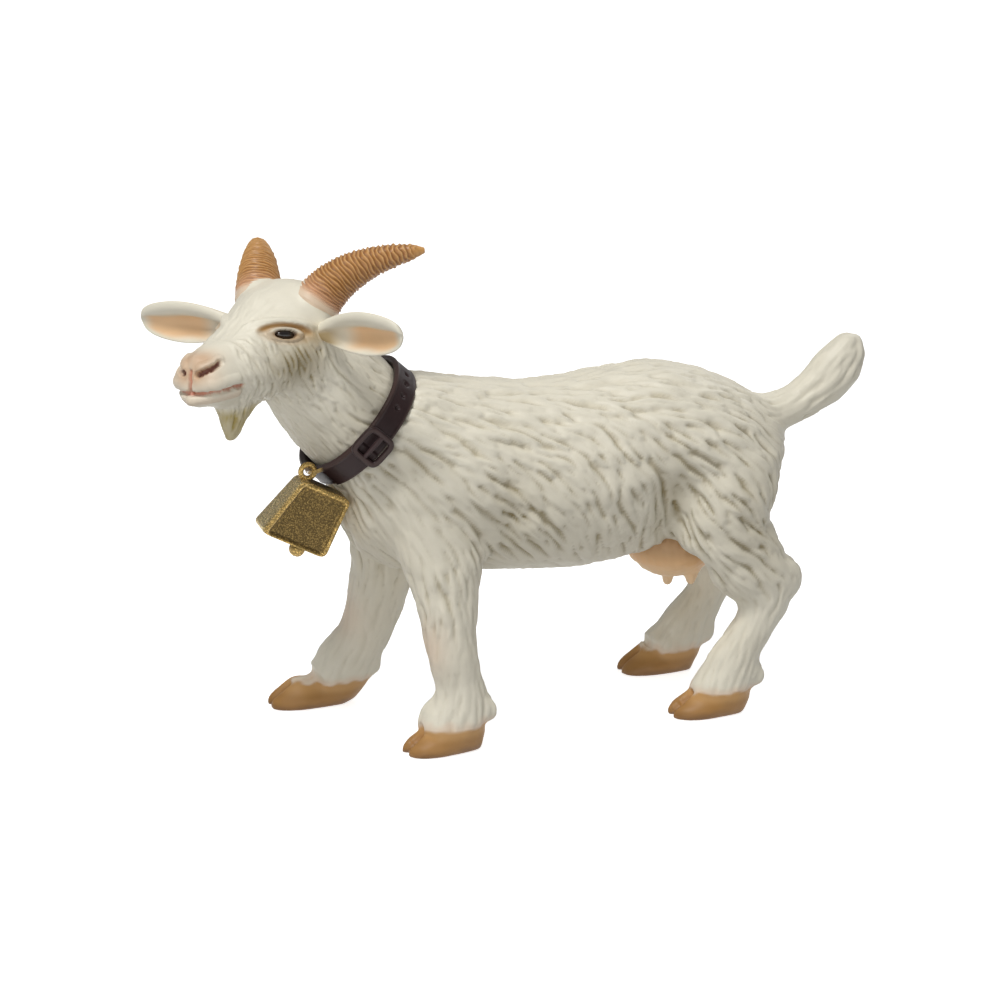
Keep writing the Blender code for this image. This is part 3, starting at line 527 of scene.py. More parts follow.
def body_paint(skin, depth):
    """White paint with an olive wash in the coat's depths, painted shade in its hollows, under the body
    and on the lower flank, pink knees and tan hooves.
    """
    z = skin.points[:, 2]
    # painted shade on the surfaces that face down, and in the hollows listed in SHADES
    under = smoothstep(0.15, -0.75, skin.smooth_normals[:, 2]) * smoothstep(3.5, 8.0, z)
    shade = 0.1 * under
    for place, radii, strength in SHADES:
        shade = np.maximum(shade, near(skin.points, place, radii) * strength)
    mottle = 0.5 + 0.5 * waves(skin.points, 3, 4.0)
    # olive paint wash in the coat's depths, made stronger by the painted shade
    wash_and_shade = smoothstep(0.0, 0.24, depth) * (0.6 + 0.36 * shade) + shade * 0.36 * (0.6 + 0.6 * mottle)
    # painted shade on the lower flank; less wash towards the back's top
    low_flank = smoothstep(40.0, 28.0, z) * smoothstep(14.0, 26.0, z)
    wash_and_shade = wash_and_shade * (1 - 0.45 * smoothstep(36.0, 43.0, z)) + 0.13 * low_flank
    colour = mixed(WHITE, OLIVE, wash_and_shade)
    for place in KNEES:
        colour = mixed(colour, PEACH, falloff(skin.points - place, (2.2, 3.0, 3.4)) * 0.4)
    edge = coronet_height(skin.points)
    colour = mixed(colour, PEACH, smoothstep(CORONET + 1.4, CORONET + 0.1, edge) * 0.4)
    tan = mixed(HOOF_PALE, HOOF_TAN, smoothstep(2.9, 1.7, z))
    tan = mixed(tan, HOOF_DARK, smoothstep(1.3, 0.1, z + 0.3 * waves(skin.points, 8, 3.0)) * 0.75)
    return mixed(colour, tan, smoothstep(CORONET + 0.25, CORONET - 0.2, edge))


def sculpted_body(mesh, rng):
    skin = Skin(mesh)
    for (x, y, z), radii, amount in FORMS:
        for side in (1, -1):
            skin.push((x, side * y, z), radii, amount)
    skin.refresh()
    sculpt_hooves(skin)
    skin.refresh()
    rise = coat_strength(skin) * COAT_RISE
    x, _, z = skin.points.T
    leg = smoothstep(21.0, 15.0, z) * (np.abs(x - BELLY_MIDDLE) >= BELLY_HALF_LENGTH)
    neck = smoothstep(-3.0, 1.5, up_neck(skin.points))
    length = 5.6 - 1.4 * leg - 0.8 * neck
    width = 0.47 - 0.07 * leg - 0.08 * neck
    flow = body_flow(skin)
    height = locks(skin, BODY_LOCK_SPACING, flow, length, width, rise, BODY_WANDER, rng)
    swell = waves(skin.points, 21, 5.0) * 0.12 * rise
    depth = grown(skin, height + swell, rise)
    z = skin.points[:, 2]
    skin.points[:, 2] = np.maximum(z - 0.1 * smoothstep(1.5, 0.0, z), 0)  # flat soles on the floor
    skin.refresh()
    write_colour(skin.mesh, body_paint(skin, depth))
    return skin


# ---- The head -----------------------------------------------------------------------------------
HORN_SEAT = (-4.4, 4.3, 3.4)
EYE_MIDDLE = np.array([1.85, 5.25, 0.62])  # on the skin, in the head's frame
EYE_OUT = unit(np.array([0.46, 0.86, 0.22]))
EYE_LONG = unit(np.array([2.06, -1.14, 0.46]))
EYE_UP = np.cross(EYE_LONG, EYE_OUT)
EYE_HALF_LENGTH, EYE_HALF_HEIGHT = 1.2, 0.46
EYEBALL_RADII, EYEBALL_DEPTH = (1.3, 0.6, 0.8), 0.84  # along the lids, across them and outward
NOSTRIL = [
    (13.0, 1.0, -2.25), (12.9, 1.5, -1.95), (12.4, 2.2, -1.65), (11.7, 2.65, -1.3), (11.1, 2.75, -1.05),
]
NOSTRIL_WING = [(13.1, 1.3, -1.35), (12.6, 2.0, -1.0), (11.9, 2.5, -0.65), (11.0, 2.7, -0.3)]
PHILTRUM = [(13.0, 0, -1.9), (13.5, 0, -2.8), (13.55, 0, -4.1)]
MOUTH = [
    (13.55, 0, -4.3), (13.5, 0.55, -4.45), (13.1, 1.85, -4.42), (12.45, 2.85, -4.25),
    (11.45, 3.5, -4.19), (10.1, 3.9, -4.1), (8.7, 4.0, -4.3),
]
LOWER_LIP = [
    (13.3, 0, -5.2), (12.9, 1.3, -5.3), (12.1, 2.4, -5.15), (11.0, 3.1, -5.0), (9.4, 3.6, -4.95),
]
UPPER_LIP = [
    (13.5, 0.9, -3.6), (13.0, 1.8, -3.5), (12.3, 2.7, -3.4), (11.0, 3.5, -3.3), (9.6, 3.9, -3.3),
]
# Soft forms: place, radius, and how far the skin moves outward
FACE_FORMS = [
    ((4.5, 4.6, -1.6), 1.8, -0.35), ((-0.5, 5.8, -2.2), 2.6, 0.25), ((9.0, 3.6, -1.2), 1.8, -0.3),
    ((12.2, 2.4, -3.0), 1.3, 0.35), ((0.5, 0, 4.6), 2.2, 0.25), ((6.5, 0, 1.6), 2.6, -0.3),
    ((12.4, 0, -0.6), 1.3, 0.25), ((12.6, 0.0, -5.4), 1.2, 0.3),
]
# Lines on each side of the face, raised first and then carved: name, path, reach, amount
FACE_LINES = [
    [("wing", NOSTRIL_WING, 0.75, 0.32), ("upper", UPPER_LIP, 0.8, 0.22), ("lips", LOWER_LIP, 0.75, 0.32)],
    [("nostril", NOSTRIL, 0.46, -0.8), ("mouth", MOUTH, 0.34, -0.5)],
]
TAN, RED = np.array([(0.60, 0.34, 0.17), (0.52, 0.12, 0.05)])
NOSTRIL_BROWN, RIM_BROWN = np.array([(0.16, 0.035, 0.018), (0.10, 0.045, 0.02)])
LID_BROWN = np.array([0.40, 0.22, 0.07])
EYE_BLACK, EYE_BROWN = np.array([(0.011, 0.007, 0.006), (0.04, 0.02, 0.01)])
EAR_OLIVE, BEARD_OLIVE = np.array([(0.38, 0.24, 0.055), (0.46, 0.36, 0.11)])
# Painted spots: colour, strength, place, radii
FACE_SPOTS = [
    (EAR_OLIVE, 0.7, (-1.3, 5.9, -0.2), (1.5, 1.8, 1.2)), (TAN, 0.75, (12.0, 0.8, -0.6), (1.9, 2.2, 1.1)),
    (TAN, 0.75, (13.3, 0.8, -2.3), (1.3, 1.4, 1.5)), (TAN, 0.45, (12.4, 2.4, -2.8), (1.4, 1.4, 1.4)),
]


def on_head(rows):
    return placed(rows, HEAD_TURN, HEAD_ORIGIN)


def eye_round(local):
    """How far each point lies from an eye, 1 on the edge of its opening, and how high above it."""
    offset = folded(local) - EYE_MIDDLE
    along, above = offset @ EYE_LONG, offset @ EYE_UP
    far = np.where(np.abs(offset @ EYE_OUT) > 3.0, 9.0, 0.0)
    return np.hypot(along / EYE_HALF_LENGTH, above / EYE_HALF_HEIGHT) + far, above


def sculpt_eyes(skin):
    around, above = eye_round(to_head(skin.points))
    sink = smoothstep(2.8, 1.2, around) * 0.4 + smoothstep(1.15, 0.9, around) * 0.8
    upper, lower = smoothstep(-0.25, 0.15, above), smoothstep(0.25, -0.15, above)
    lids = bump_at(around, 1.5, 0.5) * (0.55 * upper + 0.32 * lower)
    crease = bump_at(around, 2.4, 0.5) * 0.3 * upper
    fold = bump_at(around, 2.0, 0.3) * 0.12 * lower
    brow = bump_at(around, 3.5, 1.0) * 0.4 * smoothstep(0.4, 1.4, above)
    skin.raise_by(lids + brow - sink - crease - fold)


def sculpt_face(skin):
    """Cheeks, muzzle, nostrils and mouth; gives back the marks that are painted later."""
    for (x, y, z), radius, amount in FACE_FORMS:
        for side in (1, -1):
            skin.raise_by(falloff(to_head(skin.points) - (x, side * y, z), radius) * amount)
    for place in both_sides([HORN_SEAT]):
        skin.push(head_points(place)[0], (3.6, 3.6, 3.6), 0.5)
    skin.refresh()
    sculpt_eyes(skin)
    marks = {}
    for lines in FACE_LINES:
        skin.refresh()
        for side in (0, 1):
            for name, path, reach, amount in lines:
                share = skin.mark(head_points(both_sides(path)[side]), reach, amount)
                marks[name] = np.maximum(marks.get(name, 0), share)
    marks["philtrum"] = skin.mark(head_points(PHILTRUM), 0.36, -0.4)
    skin.refresh()
    return marks


def head_flow(skin, local):
    """Fur runs down the cheeks, back over the crown and down the beard and the neck."""
    z = local[:, 2]
    crown = smoothstep(0.0, 3.0, z)
    ahead = -0.35 - 1.2 * crown + 0.7 * smoothstep(-6.8, -8.0, z)
    flow = np.stack([ahead, 0 * z, -1 + 0.8 * crown], 1)
    flow[:, 0] += 0.35 * waves(local, 31, 2.6)
    neck = smoothstep(13.0, 8.0, up_neck(skin.points))[:, None]
    return along_skin(skin, unit(flow @ HEAD_TURN.T) * (1 - neck) + body_flow(skin) * neck)


def sculpted_head(mesh, rng):
    skin = Skin(mesh)
    marks = sculpt_face(skin)
    local = to_head(skin.points)
    x, _, z = local.T
    muzzle = smoothstep(7.0, 9.5, x) * (z > -7.2)
    eyes = smoothstep(2.6, 1.9, eye_round(local)[0])
    horns = smoothstep(5.4, 4.2, np.linalg.norm(folded(local) - HORN_SEAT, axis=1))
    bare = np.maximum.reduce([muzzle, eyes, horns])
    bridge = smoothstep(0.2, 1.6, z) * 0.65
    beard = smoothstep(-6.8, -7.6, z) * (x > 2)
    rise = (1 - bare) * (1 - bridge) * (0.7 + 0.3 * beard) * HEAD_COAT_RISE
    neck = smoothstep(13.0, 8.0, up_neck(skin.points))
    length = 3.4 + 1.2 * neck + 1.0 * beard
    width = 0.31 + 0.1 * neck + 0.1 * beard
    flow = head_flow(skin, local)
    height = locks(skin, HEAD_LOCK_SPACING, flow, length, width, rise, HEAD_WANDER, rng)
    depth = grown(skin, height, rise)
    skin.refresh()
    write_colour(skin.mesh, head_paint(skin, depth, marks))
    return skin


def head_paint(skin, depth, marks):
    """The body's white, with an olive wash and painted shade under the eyes and towards the neck, a tan
    nose, brown lids, a red mouth and an olive beard.
    """
    local = to_head(skin.points)
    x, _, z = local.T
    around, above = eye_round(local)
    neck_side = smoothstep(9.0, 3.0, up_neck(skin.points))
    # painted shade under the eyes and towards the neck
    shade = 1.3 * near(local, (0.8, 6.0, -3.2), (3.8, 3.2, 2.8)) + 0.35 * neck_side
    wash_and_shade = smoothstep(0.0, 0.13, depth) * (0.36 + 0.45 * shade) + 0.58 * shade
    beard = smoothstep(-7.0, -8.4, z) * smoothstep(1.5, 3.0, x)
    strands = 0.68 + 0.32 * smoothstep(0.0, 0.12, depth) + 0.15 * waves(local, 41, 2.4)
    colour = layered(WHITE, (OLIVE, wash_and_shade), (BEARD_OLIVE, beard * strands))
    for other, strength, place, radii in FACE_SPOTS:
        colour = mixed(colour, other, strength * near(local, place, radii))
    upper = smoothstep(-0.1, 0.5, above)
    return layered(
        colour,
        (TAN, 0.35 * marks["lips"]),
        (LID_BROWN, bump_at(around, 2.4, 0.8) * (0.7 * upper + 0.3)),
        (LID_BROWN, smoothstep(2.6, 1.1, around) * 0.75 * (1 - upper * 0.85)),
        (RIM_BROWN, smoothstep(1.3, 1.02, around) * 0.9),
        (RED, smoothstep(0.3, 0.9, marks["philtrum"]) * 0.7),
        (RED, smoothstep(0.5, 0.95, marks["mouth"]) * 0.8),
        (NOSTRIL_BROWN, smoothstep(0.4, 0.95, marks["nostril"]) * 0.94),
    )


# ---- Cutting the skin into mouldings ------------------------------------------------------------
LEG_CUT = 20.3
LEG_INSIDE = 3.0
CUT_PLANES = [
    ((0, 0, LEG_CUT), (0, 0, 1)), ((0, LEG_INSIDE, 0), (0, 1, 0)), ((0, -LEG_INSIDE, 0), (0, 1, 0)),
    ((FRONT_LEGS_TO, 0, 0), (1, 0, 0)), ((HIND_LEGS_FROM, 0, 0), (1, 0, 0)),
    (TAIL_CUT, TAIL_AXIS), (NECK_CUT, NECK_AXIS),
]


def moulding_of(point):
    """The moulding that a point of the skin belongs to."""
    if (point - NECK_CUT) @ NECK_AXIS > 0 and point[2] > 30:
        return "head"
    if (point - TAIL_CUT) @ TAIL_AXIS > 0 and point[2] > 32:
        return "tail"
    if point[2] < LEG_CUT and abs(point[1]) > LEG_INSIDE:
        side = "left" if point[1] < 0 else "right"
        if point[0] < FRONT_LEGS_TO:
            return f"front_leg_{side}"
        if point[0] > HIND_LEGS_FROM:
            return f"hind_leg_{side}"
    return "torso"


def cut_pieces(skin, wanted):
    """Splits the skin where the mouldings meet; every piece is closed and shaded as one skin."""
    whole = bmesh.new()
    whole.from_mesh(skin.mesh)
    for point, normal in CUT_PLANES:
        slice_at(whole, point, normal, dist=1e-7)
    labels = [moulding_of(np.array(f.calc_center_median()) / MM - SHIFT) for f in whole.faces]
    pieces = {}
    for name in wanted:
        part = whole.copy()
        part.faces.ensure_lookup_table()
        others = [f for f, label in zip(part.faces, labels) if label != name]
        bmesh.ops.delete(part, geom=others, context="FACES")
        close_holes(part)
        piece_mesh = mesh_of(part, f"painted_{name}")
        piece_mesh.shade_smooth()
        shade_as(piece_mesh, skin)
        pieces[name] = link(bpy.data.objects.new(f"painted_{name}", piece_mesh))
    whole.free()
    return pieces


def shade_as(piece_mesh, skin):
    normals = []
    for point in read_points(piece_mesh):
        _, i, _ = skin.tree.find(point)
        normals.append(skin.normals[i])
    piece_mesh.normals_split_custom_set_from_vertices(normals)


# ---- Lofted parts -------------------------------------------------------------------------------
def circle(count):
    return np.linspace(0, 2 * math.pi, count, endpoint=False)


def grid_object(name, rows, colours, closed_ends=True):
    """A tube through rows of points (row, point, xyz), in the sculptor's millimetres."""
    rows = np.asarray(rows, dtype=float)
    count, around = rows.shape[:2]
    points = (rows.reshape(-1, 3) + SHIFT) * MM
    index = np.arange(count * around).reshape(count, around)
    after = np.roll(index, -1, axis=1)
    faces = np.stack([index[:-1], after[:-1], after[1:], index[1:]], -1).reshape(-1, 4).tolist()
    if closed_ends:
        faces += [index[0][::-1].tolist(), index[-1].tolist()]
    made = bpy.data.meshes.new(name)
    made.from_pydata(points.tolist(), [], faces)
    made.shade_smooth()
    bm = bmesh.new()
    bm.from_mesh(made)
    bmesh.ops.recalc_face_normals(bm, faces=bm.faces)
    bm.to_mesh(made)
    bm.free()
    write_colour(made, np.broadcast_to(colours, rows.shape).reshape(-1, 3))
    return link(bpy.data.objects.new(name, made))


def ring_object(name, rows, colours):
    """A tube whose last row meets its first."""
    colours = np.broadcast_to(colours, rows.shape)
    rows, colours = [np.concatenate([grid, grid[:1]]) for grid in (rows, colours)]
    piece = grid_object(name, rows, colours, False)
    bm = bmesh.new()
    bm.from_mesh(piece.data)
    bmesh.ops.remove_doubles(bm, verts=bm.verts, dist=1e-7)
    bm.to_mesh(piece.data)
    bm.free()
    return piece


def curve_through(table, t):
    """Smooth values of a table of equally spaced rows at shares t of its length."""
    table = np.asarray(table, dtype=float)
    count = len(table)
    at = np.clip(np.asarray(t) * (count - 1), 0, count - 1 - 1e-9)
    i = at.astype(int)
    f = (at - i)[:, None]
    p = [table[np.clip(i + k, 0, count - 1)] for k in (-1, 0, 1, 2)]
    return 0.5 * (
        2 * p[1] + (p[2] - p[0]) * f + (2 * p[0] - 5 * p[1] + 4 * p[2] - p[3]) * f**2
        + (3 * p[1] - p[0] - 3 * p[2] + p[3]) * f**3
    )


# Horn, in the head's frame: base, bend and tip; then (share, half depth, half width) along it
HORN_PATH = np.array([(-4.9, 4.4, 2.8), (-8.2, 6.6, 7.8), (-15.6, 13.2, 7.9)])
HORN_ROOT = -0.14  # the root reaches into the head
HORN_THICKNESS = np.array([
    (HORN_ROOT, 2.4, 2.0), (0, 3.25, 2.8), (0.25, 2.8, 2.5), (0.5, 2.2, 2.1), (0.8, 1.4, 1.35),
    (0.93, 0.95, 0.9), (1.0, 0.35, 0.35),
])
HORN_FLAT = np.array([0.75, 0.1, 0.6])
HORN_ROWS, HORN_AROUND = 260, 72
HORN_RIDGES, HORN_RIDGE_HEIGHT = 31, 0.25
# ochre horn paint, with the colours of its painted shade and painted highlight
OCHRE, OCHRE_SHADE = np.array([(0.68, 0.35, 0.105), (0.25, 0.09, 0.02)])
OCHRE_HIGHLIGHT, HORN_PINK = np.array([(0.80, 0.55, 0.27), (0.74, 0.42, 0.27)])


def horn(label, side):
    """A swept horn whose rings are steep towards the tip and a little uneven, with painted shade between
    them and painted highlights on their crests.
    """
    t = np.linspace(HORN_ROOT, 1, HORN_ROWS)
    base, bend, tip = HORN_PATH
    centre = base * ((1 - t) ** 2)[:, None] + bend * (2 * t * (1 - t))[:, None] + tip * (t**2)[:, None]
    along = unit(np.gradient(centre, axis=0))
    out = unit(np.cross(along, HORN_FLAT))
    fore = np.cross(out, along)
    deep = np.interp(t, HORN_THICKNESS[:, 0], HORN_THICKNESS[:, 1])[:, None]
    wide = np.interp(t, HORN_THICKNESS[:, 0], HORN_THICKNESS[:, 2])[:, None]
    turn, row = circle(HORN_AROUND), t[:, None]
    wobble = 0.016 * np.sin(turn * 2 + side) + 0.006 * np.sin(turn * 5 + 1.3 * side) + 0.014 * np.cos(turn)
    rumple = 0.004 * np.sin(turn * 4 + row * 47) + 0.002 * np.sin(turn * 9 - row * 83 + side)
    phase = (np.maximum(row, 0) ** 0.9 + wobble * (1 - row * 0.5) + rumple) * HORN_RIDGES
    order = np.floor(phase)
    lumps = 0.5 + 0.4 * np.sin(turn * 3 + order * 2.4) + 0.35 * np.sin(turn * 7 + order * 4.1)
    saw = phase % 1.0
    ridge = np.where(saw < 0.7, (saw / 0.7) ** 1.5, ((1 - saw) / 0.3) ** 0.8)
    fade = smoothstep(0.02, 0.10, row) * smoothstep(1.0, 0.86, row)
    grow = (ridge - 0.55) * (HORN_RIDGE_HEIGHT * fade) * (0.55 + 0.75 * lumps)
    rows = (
        centre[:, None] + fore[:, None] * ((deep + grow) * np.cos(turn))[..., None]
        + out[:, None] * ((wide + grow) * np.sin(turn))[..., None]
    )
    rows[..., 1] *= side
    # painted shade between the rings and painted highlights on their crests
    colour = layered(
        OCHRE,
        (OCHRE_SHADE, (1 - ridge) * 0.95 * fade),
        (OCHRE_HIGHLIGHT, smoothstep(0.75, 1.0, ridge) * 0.6 * fade),
        (HORN_PINK, 0.55 * smoothstep(0.24, 0.05, row)),
        (HORN_PINK, 0.45 * smoothstep(0.3, -1.0, np.cos(turn))),
        (WHITE, 0.55 * smoothstep(0.09, 0.02, row)),
    )
    piece = grid_object(f"painted_horn_{label}", on_head(rows), colour)
    settle(piece, "goat", f"horn_{label}", painted("horn_paint", 0.42, 0.10, 0.3, 0.12))


# Ear, in the head's frame: (x, y, z, half width, half thickness, depth of the cup)
EAR = [
    (-3.4, 4.8, 0.0, 1.0, 1.0, 0.0), (-3.0, 6.6, 0.1, 1.1, 1.0, 0.0), (-2.5, 8.4, 0.2, 1.7, 0.8, 0.3),
    (-2.1, 10.6, 0.3, 2.3, 0.6, 0.9), (-1.7, 13.4, 0.4, 2.7, 0.55, 1.1), (-1.3, 16.2, 0.5, 2.6, 0.55, 0.9),
    (-1.0, 18.8, 0.6, 2.0, 0.5, 0.5), (-0.9, 20.5, 0.7, 0.9, 0.4, 0.1),
]
EAR_WIDE, EAR_DEEP = unit(np.array([0.15, 0, 1.0])), unit(np.array([1.0, 0, -0.15]))
EAR_ROWS, EAR_AROUND = 110, 88
EAR_PEACH = np.array([0.90, 0.57, 0.29])


def ear(label, side):
    """A fleshy leaf whose hollow faces forward, with a thick pale rim."""
    row = np.linspace(0, 1, EAR_ROWS)[:, None]
    table = curve_through(EAR, row[:, 0])
    half_width, half_thickness, cup = table[:, 3:4], table[:, 4:5], table[:, 5:6]
    end = smoothstep(1.0, 0.93, row) ** 0.5
    turn = circle(EAR_AROUND)
    c, s = np.cos(turn), np.sin(turn)
    front = (s > 0).astype(float)
    across = half_width * np.maximum(end, 0.1) * c
    through = half_thickness * np.maximum(end, 0.2) * s - cup * s**2
    hollow = np.clip(1 - np.abs((c + 0.30) / 0.62) ** 2.4, 0, 1)
    dip = (0.65 * hollow - 0.55 * bump_at(c, 0.6, 0.42)) * front * cup
    fold = 0.06 * np.sin(row * 40 + c * 3) * (1 - front) * hollow * smoothstep(0.1, 0.3, row)
    local = (
        table[:, None, :3] + EAR_WIDE * across[..., None] + EAR_DEEP * (through - dip + fold)[..., None]
    )
    local[..., 1] *= side
    lean = 0.42 - 0.2 * row + 0.05 * np.sin(row * 19)
    inside = front * smoothstep(0.66, 0.36, np.abs(c + lean))
    inside = inside * smoothstep(0.36, 0.56, row) * smoothstep(0.97, 0.84, row)
    root = smoothstep(0.46, 0.26, row) * front * smoothstep(0.6, -0.1, c) * smoothstep(-1.0, -0.7, c)
    colour = layered(WHITE, (EAR_PEACH, inside * 0.9), (EAR_OLIVE, root * 0.8))
    piece = grid_object(f"painted_ear_{label}", on_head(local), colour)
    settle(piece, "goat", f"ear_{label}", painted("ear_paint", 0.5, 0.12, 0.25, 0.06))


def eyeball(label, side):
    """A glossy dark eye, browner towards its corners."""
    bm = bmesh.new()
    bmesh.ops.create_uvsphere(bm, u_segments=48, v_segments=32, radius=1)
    made = mesh_of(bm, f"painted_eye_{label}")
    ball = read(made.vertices, "co", 3)
    mirror = np.array([1, side, 1])
    ways = np.stack([EYE_LONG, EYE_UP, EYE_OUT])
    turned = (ball @ (ways * mirror).T * EYEBALL_RADII) @ ways
    write_points(made, on_head((EYE_MIDDLE - EYE_OUT * EYEBALL_DEPTH + turned) * mirror))
    facing = ball @ (EYE_OUT * mirror)
    write_colour(made, mixed(EYE_BLACK, EYE_BROWN, smoothstep(0.9, 0.6, facing)))
    made.shade_smooth()
    piece = link(bpy.data.objects.new(f"painted_eye_{label}", made))
    settle(piece, "goat", None, painted("eye_paint", 0.16, 0.3, 0.02, 0.1))


# ---- Udder --------------------------------------------------------------------------------------
UDDER_MIDDLE, UDDER_HALF_SIZE = (23.2, 0.0, 21.2), (6.0, 6.2, 4.7)
TEATS = [((25.0, -2.9), 15.7), ((24.0, 2.9), 13.9)]  # place and height of each tip
TEAT_BALLS = [(0.62, 0.62), (1.2, 0.78), (1.8, 0.95), (2.5, 1.3)]  # height above the tip, radius
UDDER_TAN, UDDER_PALE = np.array([(0.90, 0.54, 0.25), (0.95, 0.67, 0.40)])
UDDER_BROWN = np.array([0.52, 0.31, 0.15])


def udder():
    """A bag with a crease down its middle and two teats, of which the far one hangs lower."""
    bm = bmesh.new()
    bmesh.ops.create_uvsphere(bm, u_segments=64, v_segments=40, radius=1)
    bmesh.ops.scale(bm, vec=UDDER_HALF_SIZE, verts=bm.verts)
    bmesh.ops.translate(bm, vec=UDDER_MIDDLE, verts=bm.verts)
    for (x, y), low in TEATS:
        for rise, radius in TEAT_BALLS:
            ball = bmesh.ops.create_uvsphere(bm, u_segments=24, v_segments=16, radius=radius)["verts"]
            bmesh.ops.translate(bm, vec=(x, y, low + rise), verts=ball)
    bmesh.ops.translate(bm, vec=SHIFT.tolist(), verts=bm.verts)
    bmesh.ops.scale(bm, vec=(MM, MM, MM), verts=bm.verts)
    made = melted(mesh_of(bm, "udder_form"), "painted_udder", UDDER_VOXEL, UDDER_SMOOTHING)
    skin = Skin(made)
    _, y, z = skin.points.T
    skin.raise_by(-np.exp(-((y / 0.7) ** 2)) * smoothstep(22.0, 18.0, z) * 0.5)
    skin.points = skin.points + skin.normals * (waves(skin.points, 61, 1.6) * 0.05)[:, None]
    skin.refresh()
    write_colour(made, layered(
        UDDER_PALE,
        (UDDER_TAN, smoothstep(16.5, 20.5, z + 0.25 * waves(skin.points, 62, 3.0))),
        (UDDER_BROWN, smoothstep(19.0, 21.5, z) * 0.8),
        # painted shade in the crease down the middle
        (HOOF_DARK, smoothstep(0.5, 0.0, np.abs(y)) * 0.25),
    ))
    piece = link(bpy.data.objects.new("painted_udder", made))
    settle(piece, "goat", "udder", painted("udder_paint", 0.5, 0.12, 0.25, 0.08))


# ---- Collar -------------------------------------------------------------------------------------
COLLAR_MIDDLE, COLLAR_UP = NECK_CUT, unit(np.array([0.673, 0.0, 0.74]))
COLLAR_ALONG = np.cross([0, 1, 0], COLLAR_UP)  # from the head to the shoulders
COLLAR_HALF_HEIGHT, COLLAR_HALF_WIDTH = 8.8, 9.4
STRAP_WIDTH, STRAP_THICKNESS = 3.4, 0.9
STRAP_PROFILE_POINTS, STRAP_FACE_POINTS, STRAP_ROWS = 64, 53, 720
STRAP_ROUND = 0.4  # radius of its outer edges
BELL_ANGLE = 156.0  # where the bell hangs, and the strap is a little thinner
HOLES = [20.0, 33.0, 46.0, 59.0]  # degrees from the nape
HOLE_RADIUS, HOLE_DEPTH, HOLE_REACH = 0.30, 0.42, 9.0  # and their distance from the neck's middle
TONGUE = (98.0, 146.0)  # where the strap's free end lies over it
BUCKLE_ANGLE = 96.0
# dark collar paint, and the painted highlight on its edges
COLLAR_BROWN, COLLAR_HIGHLIGHT = np.array([(0.030, 0.015, 0.015), (0.09, 0.055, 0.045)])


def collar_place(degrees):
    """A point on the band's outer face, and the ways along the strap and outward there."""
    angle = np.radians(degrees)
    c, s = np.cos(angle)[..., None], np.sin(angle)[..., None]
    side = np.array([0, -1.0, 0])
    point = COLLAR_MIDDLE + COLLAR_UP * (COLLAR_HALF_HEIGHT * c) + side * (COLLAR_HALF_WIDTH * s)
    tangent = unit(-COLLAR_UP * (COLLAR_HALF_HEIGHT * s) + side * (COLLAR_HALF_WIDTH * c))
    out = unit(np.cross(tangent, COLLAR_ALONG))
    flip = np.sign((out * (point - COLLAR_MIDDLE)).sum(-1, keepdims=True))
    return point, tangent, out * flip


def strap():
    """A band with rounded edges, a raised rim, four punched holes and its free end laid over it."""
    degrees = np.linspace(0, 360, STRAP_ROWS, endpoint=False)
    point, _, out = collar_place(degrees)
    half = STRAP_WIDTH / 2
    face = half * np.sin(np.linspace(-math.pi / 2, math.pi / 2, STRAP_FACE_POINTS))
    back = np.linspace(half, -half, STRAP_PROFILE_POINTS - STRAP_FACE_POINTS + 2)[1:-1]
    across = np.concatenate([face, back])
    edge = np.abs(across)
    outer = (np.arange(STRAP_PROFILE_POINTS) < STRAP_FACE_POINTS).astype(float)
    corner = np.clip((edge - half + STRAP_ROUND) / STRAP_ROUND, 0, 1)
    lift = -STRAP_ROUND * (1 - np.sqrt(1 - corner**2)) * outer - STRAP_THICKNESS * (1 - outer)
    start, end = TONGUE
    tongue = smoothstep(start, start + 2, degrees) * smoothstep(end + 1.2, end, degrees)
    loose = tongue[:, None] * outer * smoothstep(1.62, 1.45, edge) * 0.28
    rim = 0.07 * outer * bump_at(edge, 1.4, 0.25)
    relief = np.exp(-(((degrees - BELL_ANGLE) / 16.0) ** 2))[:, None] * outer * 0.2
    height = lift + loose + rim - relief
    for hole in HOLES:
        arc = (degrees - hole) * math.radians(1) * HOLE_REACH
        height -= np.exp(-(arc[:, None] ** 2 + across**2) / HOLE_RADIUS**2) * HOLE_DEPTH * outer
    rows = point[:, None] + COLLAR_ALONG * across[:, None] + out[:, None] * height[..., None]
    # painted highlight along the strap's rounded outer edges
    colour = mixed(COLLAR_BROWN, COLLAR_HIGHLIGHT, bump_at(edge, 1.5, 0.3) * outer * 0.4)
    finish = painted("strap_finish", 0.42, 0.35, 0.7, 0.3, 0.22)
    settle(ring_object("painted_strap", rows, colour), "goat", "collar_strap", finish)


BUCKLE_LENGTH, BUCKLE_WIDTH, BUCKLE_BAR, BUCKLE_THICKNESS = 4.4, 4.3, 0.75, 0.75
BUCKLE_LIFT = 0.3


def squared(wave, power):
    """A sine or cosine bent towards a square's, with the same sign."""
    return np.sign(wave) * np.abs(wave) ** power


